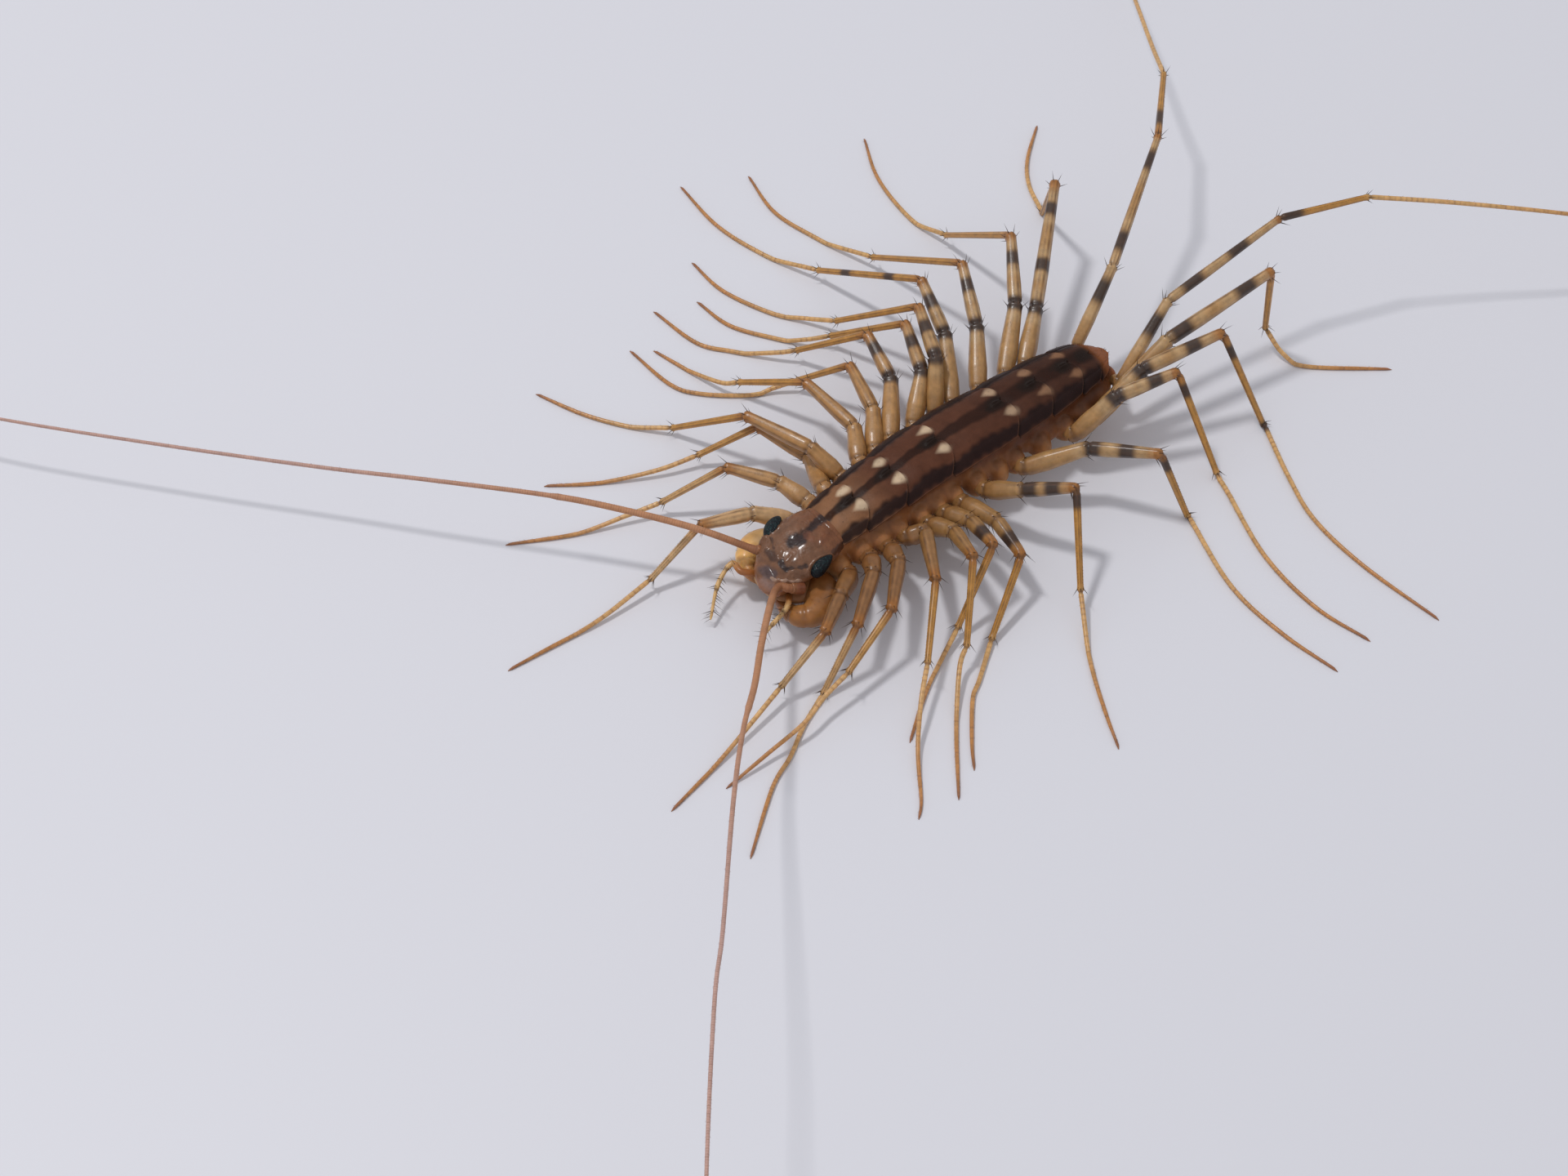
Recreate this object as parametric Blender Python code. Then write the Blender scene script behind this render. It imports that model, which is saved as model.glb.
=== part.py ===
"""House centipede, a still, life-size model that stands on a floor.

The head points to -Y, the animal's left side is at +X and the floor is z = 0.
Lengths in this file are millimetres; each mesh is made in metres.
"""

import math

import bmesh
import bpy
import numpy as np

MM = 0.001
GAP = 0.3

# Where the middle of the body lies, seen from the centre of the whole model's box
BODY_PLACE = np.array([2.28, -0.48, 0.0])

# View of the reference photograph, fitted to the eyes, the paired spots and the tail
IMAGE_CENTRE = (960.0, 720.0)
FOCAL_PIXELS = 64.0 / 36.0 * 1920.0
VIEW_AZIMUTH = math.radians(50.72)
VIEW_ELEVATION = math.radians(50.25)
VIEW_DISTANCE = 162.0
VIEW_AIM = np.array([-0.34, -11.6, 0.0])

# Trunk: along its length, half the width of the back plates and the height of the crown
STATIONS = (-8.8, -7.0, -4.0, 0.0, 4.5, 7.5, 10.0, 12.0, 13.3)
HALF_WIDTHS = (1.75, 2.0, 2.2, 2.35, 2.3, 2.2, 1.95, 1.5, 0.55)
CROWN_HEIGHTS = (4.35, 4.7, 4.95, 5.1, 5.15, 5.05, 4.85, 4.5, 3.8)
BELLY_HEIGHT = 1.7
BELLY_RISE_AT_TAIL = 0.9
SWAY = -0.25
SWAY_MIDDLE = -1.0
SWAY_REACH = 4.0
PLATE_DROP = 0.8
PLATE_STEP = 0.25
PLATE_LIP = 0.35
NOTCH_DEPTH = 0.35
TRUNK_RING_SPACING = 1.6

# Half of a section of the trunk, from the crown round to the belly: the level a point is
# measured from, its distance out as a share of the half width, its height above that level
# and its share of the notch behind a plate
TRUNK_OUTLINE = (
    ("crown", 0.0, 0.0, 1.0),
    ("crown", 0.42, -0.06, 0.35),
    ("crown", 0.8, -0.3, 0.0),
    ("edge", 1.0, 0.0, 0.0),
    ("edge", 0.98, -0.16, 0.0),
    ("edge", 0.86, -0.18, 0.0),
    ("flank", 0.9, 0.0, 0.0),
    ("belly", 0.8, 0.45, 0.0),
    ("belly", 0.45, 0.06, 0.0),
    ("belly", 0.0, 0.0, 0.0),
)

# Rear edges of the eight back plates, from the neck to the tail
NECK = -8.75
PLATE_ENDS = (-7.1, -3.95, -0.3, 4.45, 7.35, 10.05, 12.0, 13.3)

# Leg roots, pair 1 to pair 15
ROOT_ALONG = (-9.15, -7.75, -6.4, -5.05, -3.45, -2.15, -0.85, 0.9, 2.5, 3.85,
              5.9, 7.95, 9.4, 11.1, 12.7)
ROOT_HEIGHT = 2.55
FIRST_ROOT_HEIGHT = 2.0
LAST_ROOT_HEIGHT = 2.9
ROOT_OUT = 0.35
COXA_SUNK = 1.1
COXA_LIFT = 0.15
COXA_SWELLING_RADII = (0.7, 0.6, 0.75)
COXA_SWELLING_SEGMENTS = 10
COXA_SWELLING_RINGS = 6
TROCHANTER_REACH = 0.6

# Leg thickness, as radii from the root to the tip
THIGH_RADIUS = 0.4
LAST_THIGH_RADIUS = 0.3
KNEE_RADIUS = 0.33
SHIN_RADIUS = 0.29
TIP_RADIUS = 0.13
LEG_SIDES_RESOLUTION = 1
FOOT_SINK = 0.85
JOINT_BEND = 0.45
FOOT_STEPS = 2

# Legs on the photograph as (column, row, height): end of the first thigh piece, knee,
# ankle, and then the course of the foot to its tip, where 0 is a foot on the floor
RIGHT_LEGS = {
    1: ((922, 628, 3.0), (857, 643, 3.2), (797, 709, 0.9), (735, 758, 0.3),
        (673, 795, 0.0), (622, 822, 0.0)),
    2: ((955, 590, 3.1), (889, 572, 3.4), (810, 615, 1.0), (768, 631, 0.6),
        (702, 655, 0.1), (619, 668, 0.0)),
    3: ((991, 559, 2.0), (928, 522, 2.8), (855, 557, 0.9), (804, 576, 0.5),
        (730, 592, 0.1), (666, 596, 0.0)),
    4: ((993, 548, 3.9), (914, 509, 3.9), (824, 524, 0.6), (766, 522, 0.1),
        (712, 508, 0.0), (656, 483, 0.0)),
    5: ((1046, 522, 3.2), (987, 468, 3.5), (905, 468, 1.2), (881, 468, 0.7),
        (830, 448, 0.0), (800, 430, 0.0)),
    6: ((1069, 501, 3.4), (1041, 447, 3.8), (976, 466, 0.9), (948, 475, 0.4),
        (916, 486, 0.0), (858, 484, 0.0), (820, 472, 0.0), (771, 430, 0.0)),
    7: ((1091, 464, 3.6), (1062, 409, 4.4), (976, 429, 1.0), (948, 432, 0.6),
        (896, 432, 0.0), (852, 421, 0.0), (800, 382, 0.0)),
    8: ((1129, 455, 4.2), (1109, 396, 4.8), (1018, 411, 1.0), (986, 416, 0.5),
        (948, 416, 0.0), (893, 400, 0.0), (853, 370, 0.0)),
    9: ((1146, 438, 4.9), (1125, 375, 5.4), (1024, 393, 1.0), (986, 390, 0.4),
        (941, 384, 0.0), (884, 357, 0.0), (847, 322, 0.0)),
    10: ((1157, 409, 4.2), (1128, 342, 5.6), (1002, 331, 0.9), (932, 312, 0.0),
         (877, 277, 0.0), (833, 229, 0.0)),
    11: ((1196, 400, 4.2), (1178, 322, 5.8), (1069, 315, 1.0), (999, 293, 0.0),
         (948, 261, 0.0), (916, 216, 0.0)),
    12: ((1243, 374, 4.4), (1238, 288, 6.1), (1158, 288, 0.9), (1113, 268, 0.0),
         (1075, 220, 0.0), (1058, 170, 0.0)),
    13: ((1268, 379, 4.0), (1292, 223, 6.2), (1276, 262, 0.0), (1260, 229, 0.0),
         (1258, 197, 0.0), (1270, 154, 0.0)),
    15: ((1362, 327, 6.3), (1418, 167, 8.0), (1425, 90, 7.4), (1411, 57, 6.6),
         (1390, 0, 5.6), (1372, -45, 3.4), (1358, -80, 1.2), (1352, -98, 0.0)),
}
LEFT_LEGS = {
    1: ((1029, 730, 3.0), (1010, 774, 3.2), (956, 841, 1.1), (880, 933, 0.2),
        (822, 994, 0.0)),
    2: ((1070, 701, 3.0), (1050, 765, 3.3), (1008, 849, 0.3), (985, 889, 0.0),
        (968, 928, 0.0), (946, 966, 0.0), (919, 1052, 0.0)),
    3: ((1101, 688, 3.1), (1092, 746, 3.5), (1039, 823, 1.9), (1009, 854, 1.5),
        (985, 885, 1.1), (941, 922, 0.6), (889, 966, 0.0)),
    4: ((1133, 648, 3.2), (1146, 710, 3.2), (1136, 811, 1.9), (1128, 859, 1.35),
        (1124, 918, 0.4), (1128, 981, 0.0), (1125, 1004, 0.0)),
    5: ((1168, 650, 3.2), (1192, 682, 4.3), (1184, 790, 1.5), (1175, 819, 0.9),
        (1171, 898, 0.0), (1174, 980, 0.0)),
    6: ((1188, 637, 3.2), (1217, 667, 4.0), (1173, 768, 0.7), (1138, 839, 0.0),
        (1114, 910, 0.0)),
    7: ((1220, 637, 3.2), (1251, 680, 2.9), (1214, 783, 0.3), (1199, 835, 0.0),
        (1191, 858, 0.0), (1190, 911, 0.0), (1193, 944, 0.0)),
    8: ((1250, 600, 3.8), (1318, 597, 5.2), (1323, 723, 1.2), (1335, 813, 0.0),
        (1352, 870, 0.0), (1370, 918, 0.0)),
    10: ((1331, 549, 4.0), (1422, 556, 5.0), (1455, 634, 0.0), (1507, 719, 0.0),
         (1568, 776, 0.0), (1638, 823, 0.0)),
    12: ((1367, 485, 5.0), (1442, 455, 6.0), (1490, 580, 0.3), (1503, 605, 0.0),
         (1548, 682, 0.0), (1609, 744, 0.0), (1678, 786, 0.0)),
    13: ((1399, 452, 5.2), (1497, 407, 6.4), (1548, 523, 0.0), (1577, 585, 0.0),
         (1609, 638, 0.0), (1670, 695, 0.0), (1762, 760, 0.0)),
    14: ((1430, 416, 5.6), (1557, 332, 7.2), (1549, 401, 1.6), (1572, 434, 0.5),
         (1605, 451, 0.0), (1704, 453, 0.0)),
    15: ((1430, 368, 6.3), (1567, 267, 8.4), (1675, 241, 8.3), (1780, 248, 7.4),
         (1920, 262, 6.0), (2000, 276, 4.0), (2070, 296, 1.5), (2110, 312, 0.0)),
}

# Antennae on the photograph as (column, row, height), from the base out
RIGHT_ANTENNA = ((855, 648, 3.8), (766, 625, 4.4), (675, 607, 4.6), (520, 587, 4.4),
                 (392, 572, 4.0), (200, 545, 3.8), (0, 513, 3.6), (-130, 485, 3.2),
                 (-230, 455, 2.6))
LEFT_ANTENNA = ((945, 734, 3.6), (933, 785, 4.6), (924, 839, 5.4), (910, 894, 6.6),
                (898, 981, 8.4), (885, 1140, 10.4), (875, 1225, 11.2),
                (865, 1440, 12.0), (862, 1700, 11.6), (880, 1900, 10.4))
ANTENNA_BASES = {"right": (-1.5, -12.75, 3.2), "left": (1.2, -13.0, 2.95)}
ANTENNA_RING_OUT = 0.45
ANTENNA_RING_IN = 0.6
ANTENNA_RING_RADII = (0.42, 0.34)
ANTENNA_RADIUS = 0.28
ANTENNA_TIP_RADIUS = 0.16

# Head
HEAD_STATIONS = (-13.8, -13.6, -13.1, -12.2, -11.2, -10.2, -9.4, -8.9)
HEAD_HALF_WIDTHS = (0.45, 0.95, 1.5, 1.92, 2.03, 2.0, 1.87, 1.65)
HEAD_TOPS = (2.5, 2.85, 3.4, 3.95, 4.22, 4.35, 4.35, 4.25)
HEAD_BOTTOMS = (2.1, 2.05, 2.05, 2.1, 2.2, 2.3, 2.5, 2.7)
HEAD_LEAN = 0.4
HEAD_LEAN_START = -12.4
HEAD_SECTION_POINTS = 18
HEAD_ROUNDNESS = 2.4
EYE_CENTRE = (1.98, -10.88, 3.6)
EYE_RADII = (0.42, 0.95, 0.5)

# Poison claws beside and under the head, and the leg-like palps in front of them
JAW_BLOCK_CENTRE = (0.0, -9.3, 1.85)
JAW_BLOCK_RADII = (1.6, 0.95, 0.55)
CLAW_COURSES = {
    "right": ((-1.35, -10.7, 1.5), (-2.3, -10.95, 1.6), (-2.95, -11.7, 1.6), (-2.7, -12.45, 1.55),
              (-2.0, -12.95, 1.4), (-1.2, -13.1, 1.2), (-0.45, -13.0, 1.1)),
    "left": ((1.35, -10.7, 1.5), (2.35, -11.05, 1.6), (3.05, -11.95, 1.6), (2.9, -12.7, 1.55),
             (2.2, -13.1, 1.4), (1.25, -13.15, 1.2), (0.45, -13.0, 1.1)),
}
CLAW_RADII = (0.35, 0.6, 0.72, 0.62, 0.45, 0.28, 0.12)
CLAW_BREADTH = 1.4
RIGHT_PALP = ((902, 701, 2.35), (894, 702, 2.3), (878, 716, 1.9), (870, 759, 0.7))
LEFT_PALP = ((940, 735, 2.5), (955, 750, 2.3), (944, 766, 1.8), (928, 785, 0.9))
PALP_RADIUS = 0.25

COLOURS = {
    "trunk": (0.13, 0.065, 0.04),
    "head": (0.16, 0.07, 0.03),
    "eye": (0.012, 0.012, 0.02),
    "leg": (0.42, 0.24, 0.08),
    "antenna": (0.36, 0.15, 0.07),
    "claw": (0.5, 0.25, 0.07),
}


def photo_point(column, row, height):
    """The place at a height above the floor that the photograph shows at a pixel."""
    sin_a, cos_a = math.sin(VIEW_AZIMUTH), math.cos(VIEW_AZIMUTH)
    sin_e, cos_e = math.sin(VIEW_ELEVATION), math.cos(VIEW_ELEVATION)
    back = np.array([sin_a * cos_e, -cos_a * cos_e, sin_e])
    right = np.array([cos_a, sin_a, 0.0])
    up = np.cross(back, right)
    eye = VIEW_AIM + back * VIEW_DISTANCE
    ray = -back
    ray = ray + right * (column - IMAGE_CENTRE[0]) / FOCAL_PIXELS
    ray = ray - up * (row - IMAGE_CENTRE[1]) / FOCAL_PIXELS
    return eye + ray * (height - eye[2]) / ray[2]


def unit(vector):
    return vector / np.linalg.norm(vector)


def sway(along):
    """How far the middle of the body lies to the side, at a place along it."""
    return SWAY * math.exp(-((along - SWAY_MIDDLE) / SWAY_REACH) ** 2)


def new_collection(name):
    collection = bpy.data.collections.new(name)
    bpy.context.scene.collection.children.link(collection)
    return collection


def make_object(name, mesh, collection):
    obj = bpy.data.objects.new(name, mesh)
    collection.objects.link(obj)
    return obj


def face_outwards(shape):
    """Turns every face of a closed shape to the outside."""
    bmesh.ops.recalc_face_normals(shape, faces=shape.faces)
    if shape.calc_volume(signed=True) < 0:
        bmesh.ops.reverse_faces(shape, faces=shape.faces)


def loft(name, rings, collection):
    """A closed solid through rings of points, each end closed by a fan."""
    shape = bmesh.new()
    loops = []
    for ring in rings:
        loops.append([shape.verts.new(point * MM) for point in ring])
    for near, far in zip(loops, loops[1:]):
        count = len(near)
        for index in range(count):
            after = (index + 1) % count
            shape.faces.new((near[index], near[after], far[after], far[index]))
    for loop, ring in ((loops[0], rings[0]), (loops[-1], rings[-1])):
        hub = shape.verts.new(np.mean(ring, axis=0) * MM)
        for index in range(len(loop)):
            shape.faces.new((loop[index], loop[(index + 1) % len(loop)], hub))
    bmesh.ops.triangulate(shape, faces=shape.faces)
    face_outwards(shape)
    mesh = bpy.data.meshes.new(name)
    shape.to_mesh(mesh)
    shape.free()
    return make_object(name, mesh, collection)


def ellipsoid(name, centre, radii, collection, segments=14, rings=9):
    shape = bmesh.new()
    bmesh.ops.create_uvsphere(shape, u_segments=segments, v_segments=rings, radius=1.0)
    for vert in shape.verts:
        vert.co = [(centre[axis] + vert.co[axis] * radii[axis]) * MM for axis in range(3)]
    mesh = bpy.data.meshes.new(name)
    shape.to_mesh(mesh)
    shape.free()
    return make_object(name, mesh, collection)


def flatten_between(obj, front, rear):
    """Presses a closed convex piece flat against two planes across the body."""
    for vert in obj.data.vertices:
        vert.co[1] = min(max(vert.co[1], front * MM), rear * MM)


def tube(name, points, radii, collection, resolution=LEG_SIDES_RESOLUTION):
    """A round, tapered rod through the points, as a closed mesh."""
    curve = bpy.data.curves.new(name, "CURVE")
    curve.dimensions = "3D"
    curve.bevel_depth = MM
    curve.bevel_resolution = resolution
    curve.use_fill_caps = True
    spline = curve.splines.new("POLY")
    spline.points.add(len(points) - 1)
    for knot, point, radius in zip(spline.points, points, radii):
        knot.co = (*(np.asarray(point) * MM), 1.0)
        knot.radius = radius
    carrier = make_object(name + "_course", curve, collection)
    evaluated = carrier.evaluated_get(bpy.context.evaluated_depsgraph_get())
    mesh = bpy.data.meshes.new_from_object(evaluated)
    bpy.data.objects.remove(carrier)
    shape = bmesh.new()
    shape.from_mesh(mesh)
    bmesh.ops.remove_doubles(shape, verts=shape.verts, dist=0.0001 * MM)
    bmesh.ops.triangulate(shape, faces=shape.faces)
    face_outwards(shape)
    shape.to_mesh(mesh)
    shape.free()
    return make_object(name, mesh, collection)


def keep_largest(mesh):
    """Leaves the largest closed surface of a mesh, without the scraps of a union."""
    shape = bmesh.new()
    shape.from_mesh(mesh)
    waiting = set(shape.verts)
    bodies = []
    while waiting:
        body = set()
        edge_of_body = [waiting.pop()]
        while edge_of_body:
            vert = edge_of_body.pop()
            body.add(vert)
            for edge in vert.link_edges:
                other = edge.other_vert(vert)
                if other in waiting:
                    waiting.remove(other)
                    edge_of_body.append(other)
        bodies.append(body)
    bodies.sort(key=len)
    for scrap in bodies[:-1]:
        bmesh.ops.delete(shape, geom=list(scrap), context="VERTS")
    bmesh.ops.triangulate(shape, faces=shape.faces)
    face_outwards(shape)
    shape.to_mesh(mesh)
    shape.free()


def combine(name, body, others, operation, solver="MANIFOLD"):
    """Joins or cuts a body with other closed pieces, which are then removed."""
    helpers = bpy.data.collections.new(name + "_pieces")
    for other in others:
        helpers.objects.link(other)
    modifier = body.modifiers.new(operation.lower(), "BOOLEAN")
    modifier.operation = operation
    modifier.operand_type = "COLLECTION"
    modifier.collection = helpers
    modifier.solver = solver
    evaluated = body.evaluated_get(bpy.context.evaluated_depsgraph_get())
    mesh = bpy.data.meshes.new_from_object(evaluated)
    body.modifiers.clear()
    body.data = mesh
    keep_largest(mesh)
    for other in others:
        bpy.data.objects.remove(other)
    bpy.data.collections.remove(helpers)
    return body


def stand_flat(obj):
    """Cuts the piece level with the floor, so that it stands on small flats."""
    shape = bmesh.new()
    shape.from_mesh(obj.data)
    everything = list(shape.verts) + list(shape.edges) + list(shape.faces)
    cut = bmesh.ops.bisect_plane(shape, geom=everything, dist=0.0001 * MM,
                                 plane_co=(0, 0, 0), plane_no=(0, 0, 1), clear_inner=True)
    rim = [item for item in cut["geom_cut"] if isinstance(item, bmesh.types.BMEdge)]
    if rim:
        bmesh.ops.holes_fill(shape, edges=rim, sides=0)
        bmesh.ops.triangulate(shape, faces=shape.faces)
        face_outwards(shape)
    shape.to_mesh(obj.data)
    shape.free()


def half_width(along):
    return float(np.interp(along, STATIONS, HALF_WIDTHS))


def crown(along):
    return float(np.interp(along, STATIONS, CROWN_HEIGHTS))


def belly(along):
    tail_share = max(0.0, (along - PLATE_ENDS[-3]) / (PLATE_ENDS[-1] - PLATE_ENDS[-3]))
    return BELLY_HEIGHT + BELLY_RISE_AT_TAIL * tail_share


def trunk_ring(along, drop, notch):
    """One section of the trunk: a plate that overhangs the flank, and the belly."""
    width = half_width(along)
    levels = {"crown": crown(along) - drop, "belly": belly(along)}
    levels["edge"] = levels["crown"] - PLATE_DROP * width / max(HALF_WIDTHS)
    levels["flank"] = (levels["edge"] + levels["belly"]) / 2
    half = [(share * width, levels[level] + rise, reach * notch)
            for level, share, rise, reach in TRUNK_OUTLINE]
    mirrored = [(-x, z, shift) for x, z, shift in half[-2:0:-1]]
    middle = sway(along)
    return [np.array([middle + x, along - shift, z]) for x, z, shift in half + mirrored]


def trunk_length(number, front, rear, collection):
    """One plate of the back with the flank and belly under it."""
    start = front + GAP / 2
    end = rear - GAP / 2
    lip = min(PLATE_LIP, (end - start) / 4)
    rings = [trunk_ring(start, PLATE_STEP, 0.0), trunk_ring(start + lip, PLATE_STEP / 3, 0.0)]
    inner = max(1, round((end - start) / TRUNK_RING_SPACING))
    for step in range(inner):
        share = (step + 1) / (inner + 1)
        rings.append(trunk_ring(start + lip + (end - start - lip) * share, 0.0, 0.0))
    rings.append(trunk_ring(end, 0.0, NOTCH_DEPTH))
    return loft(f"trunk_{number}", rings, collection)


def root_of(pair, side):
    """The end of the coxa, where the leg begins, for a leg of the body."""
    along = ROOT_ALONG[pair - 1]
    height = ROOT_HEIGHT
    if pair == 1:
        height = FIRST_ROOT_HEIGHT
    elif pair == len(ROOT_ALONG):
        height = LAST_ROOT_HEIGHT
    out = half_width(max(along, NECK)) + ROOT_OUT
    sign = -1 if side == "right" else 1
    return np.array([sway(along) + sign * out, along, height])


def thigh_radius(pair):
    return LAST_THIGH_RADIUS if pair == len(ROOT_ALONG) else THIGH_RADIUS


def outward(side):
    """Direction in which every leg leaves the body, straight out and a little up."""
    return unit(np.array([-1.0 if side == "right" else 1.0, 0.0, COXA_LIFT]))


def coxa(pair, side, collection):
    """The short ring that a leg stands on, sunk into the flank."""
    end = root_of(pair, side)
    start = end - outward(side) * COXA_SUNK
    radius = thigh_radius(pair)
    return tube(f"coxa_{side}_{pair}", [start, end], [radius, radius], collection)


def coxa_swelling(pair, side, front, rear, collection):
    """The broad foot of a coxa on the flank, within its own length of the trunk."""
    share = thigh_radius(pair) / THIGH_RADIUS
    radii = [radius * share for radius in COXA_SWELLING_RADII]
    centre = root_of(pair, side) - outward(side) * radii[0]
    swelling = ellipsoid(f"swelling_{side}_{pair}", centre, radii, collection,
                         COXA_SWELLING_SEGMENTS, COXA_SWELLING_RINGS)
    flatten_between(swelling, front + GAP / 2, rear - GAP / 2)
    return swelling


def bend_joints(points, radii, reach):
    """Rounds each inner corner of a course with three points."""
    course, sizes = [points[0]], [radii[0]]
    for before, here, after, radius in zip(points, points[1:], points[2:], radii[1:]):
        back = unit(before - here) * min(reach, np.linalg.norm(before - here) / 3)
        ahead = unit(after - here) * min(reach, np.linalg.norm(after - here) / 3)
        course += [here + back, here + (back + ahead) * 0.25, here + ahead]
        sizes += [radius] * 3
    course.append(points[-1])
    sizes.append(radii[-1])
    return course, sizes


def smooth_course(points, steps):
    """A Catmull-Rom course through the points, without the first one."""
    padded = [2 * points[0] - points[1], *points, 2 * points[-1] - points[-2]]
    course = []
    for a, b, c, d in zip(padded, padded[1:], padded[2:], padded[3:]):
        for step in range(1, steps + 1):
            t = step / steps
            course.append(0.5 * (2 * b + (c - a) * t + (2 * a - 5 * b + 4 * c - d) * t * t
                                 + (3 * b - a - 3 * c + d) * t ** 3))
    return course


def lay_on_floor(course, sizes):
    """Lifts the points of a course that would pass below the floor."""
    lifted = []
    for point, size in zip(course, sizes):
        lifted.append(np.array([point[0], point[1], max(point[2], FOOT_SINK * size)]))
    return lifted


def leg(pair, side, collection):
    legs = RIGHT_LEGS if side == "right" else LEFT_LEGS
    joints = [photo_point(*reading) for reading in legs[pair]]
    root = root_of(pair, side)
    start = root + outward(side) * GAP
    elbow = root + outward(side) * TROCHANTER_REACH
    thigh = thigh_radius(pair)
    upper = [start, elbow, joints[0], joints[1], joints[2]]
    upper_sizes = [thigh, thigh, 0.9 * thigh, KNEE_RADIUS, SHIN_RADIUS]
    foot = smooth_course(joints[2:], FOOT_STEPS)
    shares = np.linspace(0.0, 1.0, len(foot) + 1)[1:]
    foot_sizes = [SHIN_RADIUS + (TIP_RADIUS - SHIN_RADIUS) * share ** 2 for share in shares]
    course, sizes = bend_joints(upper + foot[:1], upper_sizes + foot_sizes[:1], JOINT_BEND)
    course += foot[1:]
    sizes += foot_sizes[1:]
    obj = tube(f"leg_{side}_{pair:02d}", lay_on_floor(course, sizes), sizes, collection)
    stand_flat(obj)
    return obj


def head_lean(along):
    """How far the front of the head lies towards the left side."""
    share = np.interp(along, (HEAD_STATIONS[0], HEAD_LEAN_START), (1.0, 0.0))
    return HEAD_LEAN * float(share)


def head_ring(index):
    along = HEAD_STATIONS[index]
    middle = (HEAD_TOPS[index] + HEAD_BOTTOMS[index]) / 2
    tall = (HEAD_TOPS[index] - HEAD_BOTTOMS[index]) / 2
    wide = HEAD_HALF_WIDTHS[index]
    ring = []
    for step in range(HEAD_SECTION_POINTS):
        angle = 2 * math.pi * step / HEAD_SECTION_POINTS
        x = math.copysign(abs(math.sin(angle)) ** (2 / HEAD_ROUNDNESS), math.sin(angle))
        z = math.copysign(abs(math.cos(angle)) ** (2 / HEAD_ROUNDNESS), math.cos(angle))
        ring.append(np.array([x * wide + head_lean(along), along, middle + z * tall]))
    return ring


def mirror_x(point, sign):
    return np.array([sign * point[0], point[1], point[2]])


def head(parts, cutters):
    """The head capsule with its eye sockets and the rings that carry the antennae."""
    body = loft("head", [head_ring(index) for index in range(len(HEAD_STATIONS))], parts)
    rings = []
    for side, course in (("right", RIGHT_ANTENNA), ("left", LEFT_ANTENNA)):
        base = np.array(ANTENNA_BASES[side])
        ahead = unit(photo_point(*course[0]) - base)
        ends = [base - ahead * ANTENNA_RING_IN, base + ahead * ANTENNA_RING_OUT]
        rings.append(tube(f"ring_{side}", ends, ANTENNA_RING_RADII, parts, 2))
    combine("head", body, rings, "UNION")
    sockets = []
    for side, sign in (("right", -1), ("left", 1)):
        radii = [radius + GAP for radius in EYE_RADII]
        centre = mirror_x(EYE_CENTRE, sign)
        sockets.append(ellipsoid(f"socket_{side}", centre, radii, cutters))
    block_radii = [radius + GAP for radius in JAW_BLOCK_RADII]
    sockets.append(ellipsoid("jaw_clearance", JAW_BLOCK_CENTRE, block_radii, cutters))
    combine("head", body, sockets, "DIFFERENCE")
    return body


def antenna(side, course, collection):
    base = np.array(ANTENNA_BASES[side])
    ahead = unit(photo_point(*course[0]) - base)
    points = [base + ahead * (ANTENNA_RING_OUT + GAP)] + [photo_point(*reading) for reading in course]
    smooth = [points[0]] + smooth_course(points, 3)
    shares = np.linspace(0.0, 1.0, len(smooth))
    sizes = [ANTENNA_RADIUS + (ANTENNA_TIP_RADIUS - ANTENNA_RADIUS) * s for s in shares]
    return tube(f"antenna_{side}", smooth, sizes, collection)


def claw(side, collection):
    """A poison claw, flatter than it is broad."""
    points = [np.array(point) for point in CLAW_COURSES[side]]
    smooth = [points[0]] + smooth_course(points, 2)
    sizes = np.interp(np.linspace(0, 1, len(smooth)), np.linspace(0, 1, len(CLAW_RADII)),
                      CLAW_RADII)
    broad = [point * (1, 1, CLAW_BREADTH) for point in smooth]
    obj = tube(f"poison_claw_{side}", broad, sizes * CLAW_BREADTH, collection, 2)
    for vert in obj.data.vertices:
        vert.co[2] /= CLAW_BREADTH
    return obj


def palp(side, course, collection):
    points = [photo_point(*reading) for reading in course]
    smooth = [points[0]] + smooth_course(points, 2)
    sizes = np.linspace(PALP_RADIUS, 0.6 * PALP_RADIUS, len(smooth))
    return tube(f"palp_{side}", smooth, sizes, collection)


def paint(obj, kind):
    material = bpy.data.materials.new(obj.name + "_look")
    material.use_nodes = True
    shader = material.node_tree.nodes["Principled BSDF"]
    shader.inputs["Base Color"].default_value = (*COLOURS[kind], 1.0)
    shader.inputs["Roughness"].default_value = 0.15 if kind == "eye" else 0.4
    shader.inputs["Metallic"].default_value = 0.0
    obj.data.materials.clear()
    obj.data.materials.append(material)
    obj.data.shade_smooth()
    obj.data.set_sharp_from_angle(angle=math.radians(40))


def trunk(parts):
    """The eight lengths of the trunk, each with the coxae of its legs."""
    starts = (NECK,) + PLATE_ENDS[:-1]
    for number, (front, rear) in enumerate(zip(starts, PLATE_ENDS), start=1):
        length = trunk_length(number, front, rear, parts)
        pieces = []
        for pair, along in enumerate(ROOT_ALONG, start=1):
            if front < max(along, NECK + GAP) < rear:
                pieces += [coxa(pair, side, parts) for side in ("right", "left")]
                if along > NECK:
                    pieces += [coxa_swelling(pair, side, front, rear, parts)
                               for side in ("right", "left")]
        if number == 1:
            pieces.append(ellipsoid("jaw_block", JAW_BLOCK_CENTRE, JAW_BLOCK_RADII, parts))
        combine(length.name, length, pieces, "UNION")
        paint(length, "trunk")


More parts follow.
